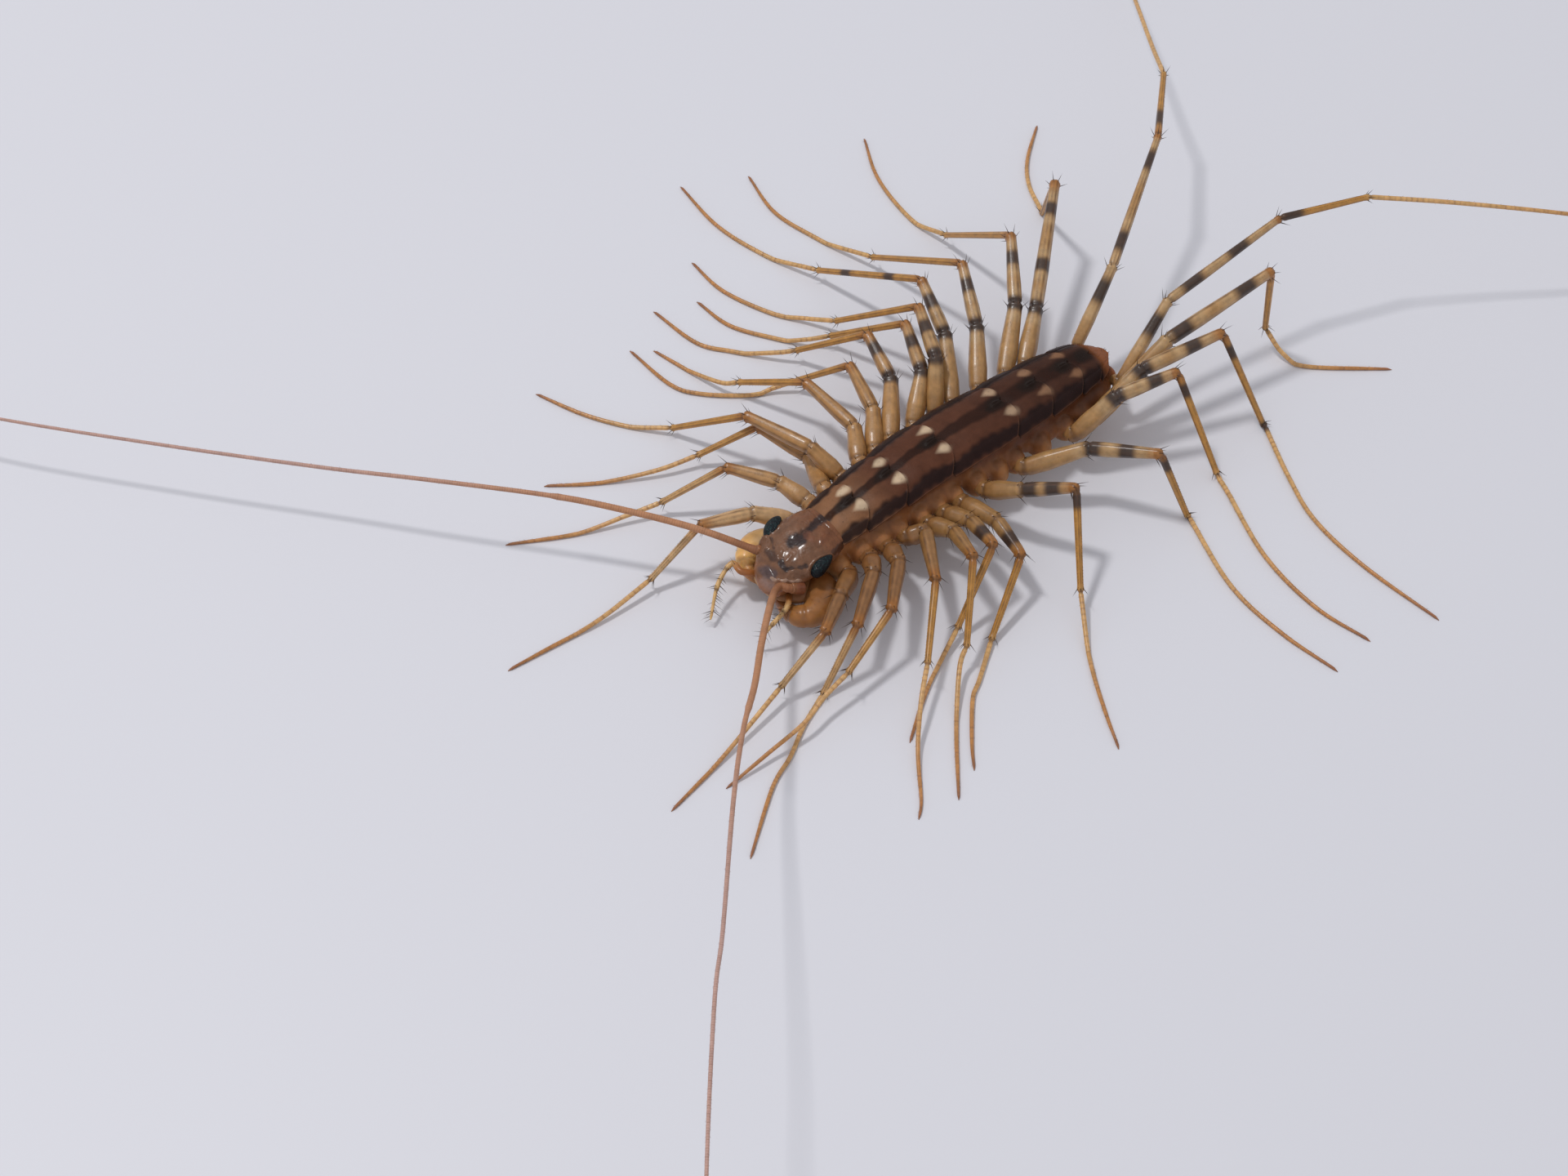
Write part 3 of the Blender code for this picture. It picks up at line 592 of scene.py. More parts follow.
def plate_tint(number, across, share, points):
    """Brown plate with a dark middle stripe, dark sides and two pale spots behind."""
    along = points[..., 1]
    back = (along - NECK) / (PLATE_REARS[-1] - NECK)
    offset = points[..., 0] - sway(along)
    middle, left, side = np.abs(offset), np.sign(offset), np.abs(across)
    wide = 1.0 + ramp(0.25, 0.7, back)
    wave = 0.03 * np.sin(4.3 * along + 2.0 * left) + 0.02 * np.sin(7.9 * along + left)
    scallop = 0.04 * np.sin(8.4 * along + 1.3 * left) + 0.02 * np.sin(3.1 * along - 2.0 * left)
    stripe = STRIPE_HALF * wide * (0.85 + 0.2 * share) + wave
    tint = painted(
        PLATE_FRONT_BROWN, (PLATE_BROWN, ramp(0.02, 0.22, back)),
        (PLATE_REAR_BROWN, ramp(0.35, 0.85, back)),
        (STRIPE_DARK, DARK_COVER * (1 - ramp(stripe * 0.65, stripe * 1.35, middle))))
    if number < len(PLATE_REARS):
        blotch = np.hypot(middle / (STOMA_BLOTCH[0] * (0.85 + 0.25 * wide)),
                          (along - PLATE_REARS[number - 1] + 0.75) / STOMA_BLOTCH[1])
        tint = blend(tint, STOMA_DARK, DARK_COVER * (1 - ramp(0.5, 1.3, blotch + 3 * wave)))
    for owner in (number - 1, number):
        if 1 <= owner <= len(SPOT_PLACES):
            ahead = (PLATE_REARS[owner - 1] - 0.38 - along) / SPOT_SIZE[1]
            taper = np.clip(1.0 - 0.45 * np.clip(ahead, -0.3, 1.2), 0.2, 1.2)
            gap = np.hypot((middle - SPOT_PLACES[owner - 1]) / (SPOT_SIZE[0] * taper), ahead)
            colour = SPOT_CREAM + (SPOT_REAR - SPOT_CREAM) * ramp(2.5, 5.5, owner)
            tint = blend(tint, colour, 0.95 * (1 - ramp(0.35, 1.45, gap + 4 * wave)))
    place = SIDE_STRIPE_PLACE + 0.035 * np.cos(math.tau * share) - 0.02 * back
    reach = SIDE_STRIPE_HALF * (0.8 + 0.45 * np.sin(math.pi * share) + 0.5 * back)
    gap = np.abs(side - place) * half_width(along)
    return painted(
        tint, (STRIPE_SIDE_DARK, DARK_COVER * (1 - ramp(reach * 0.5, reach * 1.4, gap + scallop))),
        (MARGIN_AMBER, 0.3 * ramp(0.965, 1.0, side)),
        (MARGIN_AMBER, 0.5 * ramp(0.985, 1.0, share) * ramp(0.5, 0.8, side)),
        (TAIL_ORANGE, 0.9 * ramp(11.7, 12.6, along + 0.25 * side)))


def make_plates():
    bristles = Surface()
    draw = np.random.default_rng(11)
    across, share = np.meshgrid(np.linspace(-1, 1, PLATE_COLUMNS), np.linspace(0, 1, PLATE_ROWS))
    corners = np.arange(across.size).reshape(across.shape)
    edges = (corners[:-1, 0], corners[-1, :-1], corners[:0:-1, -1], corners[0, :0:-1])
    border = np.concatenate(edges).tolist()
    faces = grid_faces(PLATE_ROWS, PLATE_COLUMNS, False)
    faces += [tuple(corner + across.size for corner in reversed(face)) for face in faces]
    faces += [(here + across.size, after + across.size, after, here)
              for here, after in zip(border, border[1:] + border[:1])]
    for number in range(1, len(PLATE_REARS) + 1):
        surface = Surface()
        top = plate_point(number, across, share, 0.0)
        low = plate_point(number, across, share, -PLATE_THICK)
        tint = plate_tint(number, across, share, top).reshape(-1, 3)
        surface.add(np.vstack([top.reshape(-1, 3), low.reshape(-1, 3)]), faces, np.vstack([tint, tint]))
        surface.make(f"plate_{number}", PLATE_MATERIAL)
        add_plate_bristles(bristles, number, draw)
    bristles.make("plate_bristles", BRISTLE_MATERIAL)


def add_plate_bristles(surface, number, draw):
    """Short stiff hairs along the rear and side edges of a plate, and shorter ones on its face."""
    places = [(draw.uniform(-0.97, 0.97), 1.0) for hair in range(REAR_HAIRS)]
    places += [(side, draw.uniform(0.3, 0.98)) for side in (-1.0, 1.0) for hair in range(SIDE_HAIRS)]
    places += [(draw.uniform(-0.9, 0.9), draw.uniform(0.25, 0.95)) for hair in range(TOP_HAIRS)]
    for u, v in places:
        root = plate_point(number, np.array(u), np.array(v), 0.0)
        if v == 1.0 or abs(u) > 0.98:
            lean = np.array([0.6 * u, 1.0, 0.35])
            length = draw.uniform(*EDGE_HAIR_LENGTHS)
        else:
            lean = np.array([0.1 * u, 1.0, 0.8])
            length = draw.uniform(*TOP_HAIR_LENGTHS)
        add_bristle(surface, root, lean + draw.normal(0, 0.2, 3), length, SHORT_HAIR_RADIUS, BRISTLE_BROWN,
                    strip_spot(number - 1, len(PLATE_REARS), (u + 1) / 2, 0.98 * v))


# Trunk skin with its coxae

SKIN_AMBER = srgb(158, 102, 58)
SKIN_DARK = srgb(102, 60, 38)
SKIN_PALE = srgb(190, 142, 90)
BELLY_PALE = srgb(184, 146, 104)
SKIN_ROWS = 120
SKIN_SIDES = 48
SKIN_FRONT = -9.9
SKIN_REAR = 13.35
NECK_TOP = 3.3
COXA_SIZE = (1.05, 0.7, 0.94)
LAST_COXA_SHARE = 0.72
COXA_IN = 0.52
VOXEL_MM = 0.085
JAW_BEDS = (((0.0, -9.4, 1.85), (1.7, 1.1, 0.6)), ((0.15, -11.85, 1.75), (2.25, 1.75, 0.6)))
JAW_BED_AMBER = srgb(140, 90, 52)
FLANKS = tuple(((sign * 1.1 - 0.1, along, 2.65), (1.5, 2.6, 1.0))
               for sign in (-1, 1) for along in (-6.0, -2.2, 2.2, 6.4, 10.0))
BELLY_PLATE_WIDTH = 0.62
BELLY_PLATE_DEPTH = 0.07
BELLY_GROOVE = 0.13
BELLY_LINE = srgb(118, 78, 46)


def skin_ring(along):
    """Outline of the soft body at a place along it, from the crown round to the belly."""
    angles = turns(SKIN_SIDES)
    width = float(half_width(along)) * 0.9
    top = float(crown(along)) - 0.2
    low = float(belly(along))
    front = float(ramp(SKIN_FRONT, SKIN_FRONT + 1.1, along))
    rear = 1.0 - float(ramp(12.4, SKIN_REAR, along)) ** 2
    if along < NECK:
        top = NECK_TOP + (top - NECK_TOP) * front
        width = width * (0.55 + 0.45 * front)
    width = width * (0.15 + 0.85 * rear)
    middle = (top + low) / 2
    tall = (top - low) / 2 * (0.25 + 0.75 * rear)
    x, z = squared(np.sin(angles), 0.8), squared(np.cos(angles), 0.85)
    nearest = min(abs(along - root) for root in ROOT_ALONG)
    groove = 0.07 * ramp(0.45, 0.7, nearest) * (z < -0.5)
    return np.stack([float(sway(along)) + x * width, np.full(SKIN_SIDES, along),
                     middle + z * tall + groove], axis=1)


def ball(centre, radii, rows=16, sides=24):
    """A closed ellipsoid as rings along +Y."""
    angles = turns(sides)
    rings = []
    for polar in np.linspace(0.06, math.pi - 0.06, rows):
        ring = np.stack([math.sin(polar) * np.sin(angles), np.full(sides, -math.cos(polar)),
                         math.sin(polar) * np.cos(angles)], axis=1)
        rings.append(np.array(centre) + np.array(radii) * ring)
    return closed_rings(rings)


def fused(surface, voxel, smoothing):
    """Points and faces of one closed skin over all the shapes of a surface."""
    mesh = new_mesh("fusing", np.concatenate(surface.points), surface.faces)
    carrier = new_object("fusing", mesh)
    remesh = carrier.modifiers.new("remesh", "REMESH")
    remesh.mode = "VOXEL"
    remesh.voxel_size = voxel
    smooth = carrier.modifiers.new("smooth", "SMOOTH")
    smooth.factor = 0.5
    smooth.iterations = smoothing
    evaluated = carrier.evaluated_get(bpy.context.evaluated_depsgraph_get())
    result = evaluated.to_mesh()
    places = np.zeros(len(result.vertices) * 3)
    result.vertices.foreach_get("co", places)
    found = [tuple(polygon.vertices) for polygon in result.polygons]
    evaluated.to_mesh_clear()
    bpy.data.objects.remove(carrier)
    bpy.data.meshes.remove(mesh)
    return places.reshape(-1, 3), found


def belly_shares(points):
    """How far each point lies on a belly plate, in a groove between two, and on a plate's side edge."""
    along, height = points[:, 1], points[:, 2]
    across = np.abs(points[:, 0] - sway(along)) / (BELLY_PLATE_WIDTH * half_width(along))
    low = 1 - ramp(belly(along) + 0.15, belly(along) + 0.5, height)
    inside = low * (1 - ramp(0.88, 1.04, across))
    roots = np.array(ROOT_ALONG)
    borders = np.concatenate([[SKIN_FRONT - 0.1], (roots[:-1] + roots[1:]) / 2])
    gap = np.min(np.abs(along[:, None] - borders), axis=1)
    middle = bell(across, 0.07) * (1 - ramp(-10.3, -9.9, along))
    groove = np.maximum(bell(gap, 0.1), middle) * low * (1 - ramp(1.0, 1.15, across))
    edge = bell(across - 1.04, 0.07) * low
    return inside, groove, edge


def skin_tint(points, inside, groove, edge):
    """Dark under the plates, amber on the coxae with dark creases between, pale on the belly."""
    along, height = points[:, 1], points[:, 2]
    nearest = np.min(np.abs(along[:, None] - np.array(ROOT_ALONG)), axis=1)
    on_flank = ramp(1.6, 2.2, np.abs(points[:, 0] - sway(along)))
    return painted(
        BELLY_PALE, (SKIN_AMBER, ramp(1.7, 2.3, height)),
        (SKIN_DARK, ramp(3.0, 3.9, height + 0.4 * ramp(0.0, 5.0, along))),
        (SKIN_PALE, 0.35 * bell(nearest, 0.3) * on_flank * bell(height - 2.6, 0.6)),
        (SKIN_DARK, 0.4 * ramp(0.42, 0.7, nearest) * on_flank),
        (JAW_BED_AMBER, 0.8 * (1 - ramp(-10.8, -10.2, along))),
        (TAIL_ORANGE, 0.85 * ramp(12.2, 13.0, along) * ramp(2.6, 3.2, height)),
        (BELLY_PALE * 1.1, 0.6 * inside), (BELLY_LINE, np.clip(0.75 * groove + 0.5 * edge, 0, 0.85)))


def make_skin():
    raw = Surface()
    places = np.linspace(SKIN_FRONT, SKIN_REAR, SKIN_ROWS)
    raw.add(*closed_rings([skin_ring(along) for along in places]), SKIN_AMBER)
    for side in SIDES:
        for pair in range(1, LAST_PAIR + 1):
            size = np.array(COXA_SIZE) * (LAST_COXA_SHARE if pair == LAST_PAIR else 1.0)
            raw.add(*ball(root_of(pair, side) - outward(side) * COXA_IN, size), SKIN_AMBER)
    for centre, radii in JAW_BEDS + FLANKS:
        raw.add(*ball(centre, radii, 24, 32), SKIN_AMBER)
    points, faces = fused(raw, VOXEL_MM, 16)
    inside, groove, edge = belly_shares(points)
    points[:, 2] += BELLY_GROOVE * groove + 0.5 * BELLY_GROOVE * edge - BELLY_PLATE_DEPTH * inside
    surface = Surface()
    surface.add(points, faces, skin_tint(points, inside, groove, edge))
    surface.make("trunk_skin", SKIN_MATERIAL, [f"trunk_{n}" for n in range(1, 9)])


# Legs

LEG_AMBER = srgb(178, 132, 80)
LEG_CREAM = srgb(178, 136, 86)
LEG_BROWN = srgb(120, 76, 40)
LEG_LINE = srgb(84, 52, 28)
KNEE_ORANGE = srgb(164, 104, 42)
SHIN_AMBER = srgb(188, 136, 66)
FOOT_AMBER = srgb(214, 170, 112)
FOOT_ORANGE = srgb(178, 114, 56)
FOOT_TIP = srgb(142, 92, 66)
BAND_DARK = srgb(44, 36, 38)
BAND_CREAM = srgb(216, 190, 150)
# Painted light and shade by side: the key lamp lights the animal's right, so the left legs are painted
# darker, with a darker front tint and a larger share of base brown, and the first right legs are painted
# paler; the base brown itself is the legs' own colour.
BASE_BROWN_AND_SHADE_SHARE = {"right": 0.28, "left": 0.5}
PAINTED_SHADE_OF_SIDE = {"right": 1.0, "left": 0.8}
FRONT_LEG_LIGHT_AND_SHADE = {"right": (srgb(226, 188, 142), 0.75, 0.12), "left": (srgb(122, 74, 42), 0.5, 0.3)}
SHIN_PALE = srgb(216, 184, 142)
LEG_SIDES = 20
LEG_RIDGES = 0.05
STEP_MM = 0.09
LINE_ANGLES = (0.45, 1.25, 2.0, 2.75, 4.1, 5.3)
SPURS = 6
SPUR_LENGTHS = (0.4, 0.72, 0.72, 0.56)

# Radii at the places that leg_radii gives, and the collars of a leg's joints
THIGH_RADII = (0.5, 0.53, 0.58, 0.43, 0.44, 0.31)
SHIN_RADII = (0.23, 0.18, 0.14, 0.108, 0.075, 0.015)
COLLARS = (0.03, 0.05, 0.05, 0.03)

# Hairs, here and below, as a length or range of lengths, a radius and a lean ahead
TOOTH = (0.075, 0.02, 1.2, TOOTH_BROWN)
THIGH_HAIR = ((0.1, 0.2), 0.012, 1.4)
FOOT_HAIR = ((0.08, 0.15), SHORT_HAIR_RADIUS, 1.2, TOOTH_BROWN)


def root_of(pair, side):
    along = ROOT_ALONG[pair - 1]
    width = float(np.interp(max(along, NECK), STATIONS, HALF_WIDTHS)) + ROOT_OUT
    height = END_ROOT_HEIGHTS.get(pair, ROOT_HEIGHT)
    return np.array([float(sway(along)) + SIDES[side] * width, along, height])


def outward(side):
    return unit(np.array([SIDES[side], 0.0, COXA_LIFT]))


def rounded_course(points, reach):
    """Dense points along straight pieces with rounded corners."""
    knots = [points[0]]
    for before, here, after in zip(points, points[1:], points[2:]):
        back = unit(before - here) * min(reach, np.linalg.norm(before - here) / 3)
        ahead = unit(after - here) * min(reach, np.linalg.norm(after - here) / 3)
        for t in np.linspace(0, 1, 7):
            knots.append(here + back * (1 - t) ** 2 + ahead * t ** 2)
    knots.append(points[-1])
    return np.array(knots)


def smooth_course(points, steps):
    """A Catmull-Rom course through the points."""
    points = np.array(points)
    padded = [2 * points[0] - points[1], *points, 2 * points[-1] - points[-2]]
    course = [points[0]]
    for a, b, c, d in zip(padded, padded[1:], padded[2:], padded[3:]):
        for step in range(1, steps + 1):
            t = step / steps
            course.append(0.5 * (2 * b + (c - a) * t + (2 * a - 5 * b + 4 * c - d) * t * t
                                 + (3 * b - a - 3 * c + d) * t ** 3))
    return np.array(course)


def even_course(points, step):
    """Points at even steps along a course, and their distances from its start."""
    lengths = np.concatenate([[0.0], np.cumsum(np.linalg.norm(np.diff(points, axis=0), axis=1))])
    count = max(8, int(lengths[-1] / step))
    at = np.linspace(0.0, lengths[-1], count)
    course = np.stack([np.interp(at, lengths, points[:, axis]) for axis in range(3)], axis=1)
    return course, at


def distance_at(course, at, point):
    return at[np.argmin(np.linalg.norm(course - point, axis=1))]


def leg_shape(pair, side):
    """The course of a leg with the distances of its joints."""
    joints = photo_points(LEGS[side][pair])
    root = root_of(pair, side)
    elbow = root + outward(side) * TROCHANTER_REACH
    foot = smooth_course(joints[2:], 10)
    upper = rounded_course([root - outward(side) * 0.1, elbow, *joints[:3], foot[1]], 0.4)
    course, at = even_course(np.vstack([upper, foot[2:]]), STEP_MM)
    marks = [distance_at(course, at, point) for point in (elbow, *joints[:3])]
    return course, at, marks + [at[-1]]


def leg_radii(at, marks, pair):
    """Thickness along a leg, with swollen thighs, collars at the joints and a ringed foot."""
    elbow, hip, knee, ankle, tip = marks
    slim = 0.7 if pair == LAST_PAIR else 1.0
    radii = np.interp(at, [0, elbow, elbow + 0.35 * (hip - elbow), hip, hip + 0.3 * (knee - hip),
                           knee, knee + 0.25, ankle, ankle + 0.2, ankle + 0.75 * (tip - ankle),
                           tip - 0.3, tip],
                      [*(slim * radius for radius in THIGH_RADII), *SHIN_RADII])
    for joint, size in zip(marks, COLLARS):
        radii = radii + size * bell(at - joint + 0.08, 0.12)
        radii = radii - size * 1.5 * bell(at - joint - 0.14, 0.08)
    return radii * (1.0 + 0.07 * (1 - foot_seams(at, ankle, tip)) * ramp(ankle, ankle + 0.3, at))


def foot_seams(at, ankle, tip):
    """Where the rings of the foot meet: 1 at a seam, 0 on a ring."""
    article = 0.36 - 0.14 * ramp(ankle, tip, at)
    phase = np.cumsum(np.gradient(at) / article)
    return (1 - np.abs(np.sin(math.pi * phase))) ** 4 * (at > ankle)


def leg_tints(course, at, marks, pair, side):
    """Amber leg, paler and banded towards the tail, darker at the joints, the tip and the long lines;
    painted shade darkens the left legs and painted light pales the first right ones.
    """
    elbow, hip, knee, ankle, tip = marks
    back = (pair - 1) / (LAST_PAIR - 1)
    pale = ramp(0.3, 0.75, back)
    over, strength, reach = FRONT_LEG_LIGHT_AND_SHADE[side]
    shin = blend(SHIN_AMBER, SHIN_PALE, 0.6 * (1 - ramp(0.0, 0.2, back)))
    along_foot = (at - ankle) / (tip - ankle)
    # The side's darkening, the base brown's larger share on the left and the front legs' tint are painted
    # light and shade.
    tints = painted(
        LEG_AMBER * (1 - pale) * PAINTED_SHADE_OF_SIDE[side] + LEG_CREAM * pale,
        (LEG_BROWN, BASE_BROWN_AND_SHADE_SHARE[side] * (1 - ramp(elbow, elbow + 1.6, at))),
        (over, strength * (1 - ramp(reach - 0.18, reach, back))),
        (KNEE_ORANGE, ramp(knee - 1.0, knee - 0.1, at) * 0.8), (shin, ramp(knee + 0.1, knee + 1.2, at)),
        (FOOT_AMBER, ramp(ankle - 0.5, ankle + 0.5, at)), (FOOT_ORANGE, 0.7 * ramp(0.2, 0.75, along_foot)),
        (FOOT_TIP, 0.8 * ramp(0.8, 1.0, along_foot)),
        *((LEG_LINE, 0.6 * bell(at - joint - 0.12, 0.09)) for joint in marks[:4]))
    bands = [distance_at(photo_pixels(course), at, band) for band in BANDS[side].get(pair, ())]
    gaps = [np.abs(at - band) for band in bands]
    reach = BAND_REACH.get((side, pair), BAND_HALF)
    beside = np.max([0 * at] + [bell(gap - 1.9 * reach, 0.9 * reach) for gap in gaps], axis=0)
    tints = painted(
        tints, (BAND_CREAM, 0.32 * pale * beside * (at < knee - 0.3)),
        *((BAND_DARK, 0.92 * (1 - ramp(reach * 0.55, reach * 1.5, gap))) for gap in gaps),
        (FOOT_TIP, 0.6 * foot_seams(at, ankle, tip)))
    around = turns(LEG_SIDES)
    lines = np.max([bell((around - line + math.pi) % math.tau - math.pi, 0.14)
                    for line in LINE_ANGLES], axis=0)
    on_thigh = ramp(elbow + 0.3, hip, at) * 0.55
    strength = np.where(at < ankle, np.where(at < hip, on_thigh, 0.8), 0.3)
    strength = strength * (0.75 + 0.25 * np.sin(5.0 * at))
    return blend(tints[:, None, :], LEG_LINE, strength[:, None] * lines)


def lay_on_floor(course, radii):
    laid = course.copy()
    laid[:, 2] = np.maximum(laid[:, 2], radii * (1.0 + LEG_RIDGES))
    return laid


def make_legs():
    bristles = Surface()
    draw = np.random.default_rng(7)
    legs = [(side, pair) for side in SIDES for pair in LEGS[side]]
    for strip, (side, pair) in enumerate(legs):
        course, at, marks = leg_shape(pair, side)
        radii = leg_radii(at, marks, pair)
        course = lay_on_floor(course, radii)
        tints = leg_tints(course, at, marks, pair, side)
        make_tube(f"leg_{side}_{pair:02d}", LEG_MATERIAL, "leg", course, radii, tints, LEG_SIDES,
                  ridges=LEG_RIDGES)
        add_leg_bristles(bristles, Limb(course, at, radii, strip, len(legs)), marks, draw)
    bristles.make("leg_bristles", BRISTLE_MATERIAL)


def add_leg_bristles(surface, limb, marks, draw):
    """Spurs at the joints, teeth from the hip to the ankle, short hairs on the rest of the leg."""
    elbow, hip, knee, ankle, tip = marks
    for joint, length in zip(marks, SPUR_LENGTHS):
        for turn in range(SPURS):
            angle = math.tau * (turn + draw.uniform(-0.15, 0.15)) / SPURS
            limb.hair(surface, limb.index(joint - 0.1), angle, length * draw.uniform(0.7, 1.15), 0.03, 1.1)
    for line in LINE_ANGLES:
        for distance in np.arange(hip + 0.2, ankle - 0.1, 0.2):
            index = limb.index(distance + draw.uniform(-0.05, 0.05))
            limb.hair(surface, index, line, *TOOTH)
    for distance in np.arange(elbow, hip, 0.2):
        limb.drawn_hair(surface, draw, limb.index(distance), *THIGH_HAIR)
    for distance in np.arange(ankle + 0.1, tip - 0.1, 0.12):
        limb.drawn_hair(surface, draw, limb.index(distance), *FOOT_HAIR)


# Antennae

FEELER_BROWN = srgb(186, 134, 98)
FEELER_BASE = srgb(146, 96, 64)
FEELER_FAR = srgb(194, 158, 146)
FEELER_SEAM = srgb(122, 76, 54)
FEELER_STEP = 0.045
FEELER_SIDES = 12
FEELER_ARTICLE = 0.15
FEELER_NODE = 12.3
FEELER_RADII = (0.27, 0.25, 0.205, 0.175, 0.19, 0.14, 0.115, 0.075, 0.02)
FEELER_HAIR = ((0.07, 0.12), 0.007, 1.3, FEELER_SEAM)
FIRST_ARTICLES = {"right": ((-1.35, -12.5, 3.1), (-1.5, -12.75, 3.2)),
                  "left": ((1.85, -12.6, 2.8), (1.75, -13.0, 3.0), (1.42, -13.42, 3.15))}


def make_antenna(side, strip, hairs, draw):
    """A short article in its socket, then the long ringed whip."""
    points = [*FIRST_ARTICLES[side], *photo_points(ANTENNAE[side])]
    course, at = even_course(smooth_course(points, 16), FEELER_STEP)
    rings = np.abs(np.sin(math.pi * at / FEELER_ARTICLE))
    places = [0, 0.5, 1.0, FEELER_NODE - 0.2, FEELER_NODE, FEELER_NODE + 0.5, 26.0, at[-1] - 0.3, at[-1]]
    radii = np.interp(at, places, FEELER_RADII) * (1.0 + 0.06 * rings)
    tints = painted(FEELER_BASE, (FEELER_BROWN, ramp(0.5, 4, at)), (FEELER_FAR, ramp(8.0, 30.0, at)),
                    (FEELER_SEAM, 0.5 * (1 - rings) ** 2))
    make_tube(f"antenna_{side}", FEELER_MATERIAL, "antenna", course, radii, tints, FEELER_SIDES)
    limb = Limb(course, at, radii, strip, len(SIDES))
    for index in range(10, len(at) - 5, 3):
        for hair in range(3):
            limb.drawn_hair(hairs, draw, index, *FEELER_HAIR)


def make_antennae():
    hairs = Surface()
    draw = np.random.default_rng(9)
    for strip, side in enumerate(SIDES):
        make_antenna(side, strip, hairs, draw)
    hairs.make("antenna_hairs", BRISTLE_MATERIAL)


# Head

HEAD_STATIONS = (-13.85, -13.6, -13.1, -12.2, -11.2, -10.2, -9.4, -8.8)
HEAD_HALF_WIDTHS = (0.3, 0.92, 1.38, 1.86, 2.03, 2.0, 1.87, 1.65)
HEAD_TOPS = (2.4, 2.85, 3.4, 3.95, 4.22, 4.38, 4.42, 4.42)
HEAD_BOTTOMS = (2.1, 2.0, 2.0, 2.1, 2.2, 2.3, 2.5, 2.7)
HEAD_LEAN = 0.42
HEAD_ROUNDNESS = 2.3
HEAD_ROWS = 220
HEAD_SIDES = 180
HEAD_BROWN = srgb(118, 82, 60)
HEAD_REAR = srgb(116, 68, 38)
HEAD_SIDE = srgb(136, 84, 50)
HEAD_DARK = srgb(44, 32, 32)
HEAD_GREY = srgb(80, 66, 68)
HEAD_LILAC = srgb(148, 122, 114)
HEAD_PINK = srgb(150, 104, 94)
HEAD_RIM = srgb(168, 138, 120)
SOCKET_RED = srgb(120, 70, 46)
HEAD_EDGE = ((944, 708), (956, 712), (976, 711), (991, 714))
HEAD_MARKS = (
    ((970, 663), (981, 661), 9.0, HEAD_DARK, 0.95),
    ((982, 655), (988, 650), 5.0, HEAD_DARK, 0.75),
    ((994, 646), (1008, 634), 6.0, HEAD_DARK, 0.9),
    ((988, 655), (993, 660), 6.0, SOCKET_RED, 0.5),
    ((945, 660), (947, 670), 2.0, HEAD_DARK, 0.6),
    ((942, 678), (948, 684), 6.0, HEAD_DARK, 0.65),
    ((957, 690), (961, 696), 5.0, HEAD_DARK, 0.9),
    ((961, 697), (988, 693), 2.4, HEAD_DARK, 0.75),
    ((936, 699), (944, 704), 8.0, HEAD_GREY, 0.85),
    ((934, 716), (944, 726), 10.0, HEAD_LILAC, 0.8),
    ((958, 721), (986, 720), 7.0, SOCKET_RED, 0.9),
    *((*line, 1.6, HEAD_RIM, share) for *line, share in zip(HEAD_EDGE, HEAD_EDGE[1:], (0.8, 0.8, 0.7))),
    ((959, 727), (965, 732), 4.5, HEAD_PINK, 0.85),
    ((1020, 676), (1030, 668), 4.0, HEAD_DARK, 0.6),
    ((1012, 655), (1006, 664), 5.0, SOCKET_RED, 0.35),
)
HEAD_RIDGES = (
    *((*line, 1.8, 0.06) for line in zip(HEAD_EDGE, HEAD_EDGE[1:])),
    ((958, 720), (986, 721), 5.0, -0.1),
    ((945, 660), (947, 672), 2.0, -0.06),
    ((949, 676), (953, 686), 2.0, 0.05),
    ((957, 674), (954, 681), 2.0, 0.05),
    ((962, 689), (969, 680), 2.0, 0.05),
    ((957, 692), (988, 695), 2.5, -0.05),
    ((966, 637), (966, 637), 2.2, 0.05),
    ((959, 642), (959, 642), 1.8, 0.05),
    ((953, 645), (953, 645), 1.8, 0.05),
    ((1006, 663), (1005, 668), 1.8, 0.05),
    ((1000, 677), (1000, 677), 2.0, 0.05),
    ((1013, 654), (1013, 654), 1.6, 0.04),
    ((947, 706), (947, 706), 1.8, 0.05),
    ((971, 706), (971, 706), 1.6, 0.05),
)
HEAD_SWELLINGS = ((0.62, -12.75, 0.38, 0.1), (0.8, -10.7, 0.6, 0.1),
                  (0.7, -9.6, 0.5, 0.1), (0.0, -12.5, 0.3, 0.05))
HEAD_GRAIN = 0.009
SOCKET_PLACES = (-0.5, -0.1, 0.1, 0.2, 0.27, 0.3)
SOCKET_RADII = (0.4, 0.38, 0.32, 0.33, 0.31, 0.25)
HEAD_HAIRS = 110
HEAD_HAIR_LENGTHS = (0.06, 0.14)
EYE_CENTRES = {"right": (-1.84, -11.16, 3.6), "left": (2.05, -10.75, 3.58)}
EYE_RADII = {"right": (0.52, 0.76, 0.54), "left": (0.37, 0.8, 0.44)}
EYE_TAPER = 0.3
EYE_SKEW = {"right": 0.4, "left": 0.14}
EYE_DIP = 0.16
EYE_BLACK = srgb(9, 11, 15)
EYE_BLUE = srgb(20, 32, 42)
# Colour of the painted glints on some facets
EYE_GLINT_GREEN = srgb(44, 76, 76)
EYE_ROWS = 120
EYE_COLUMNS = 160
EYE_FACETS = 900
FACET_HEIGHT = 0.05


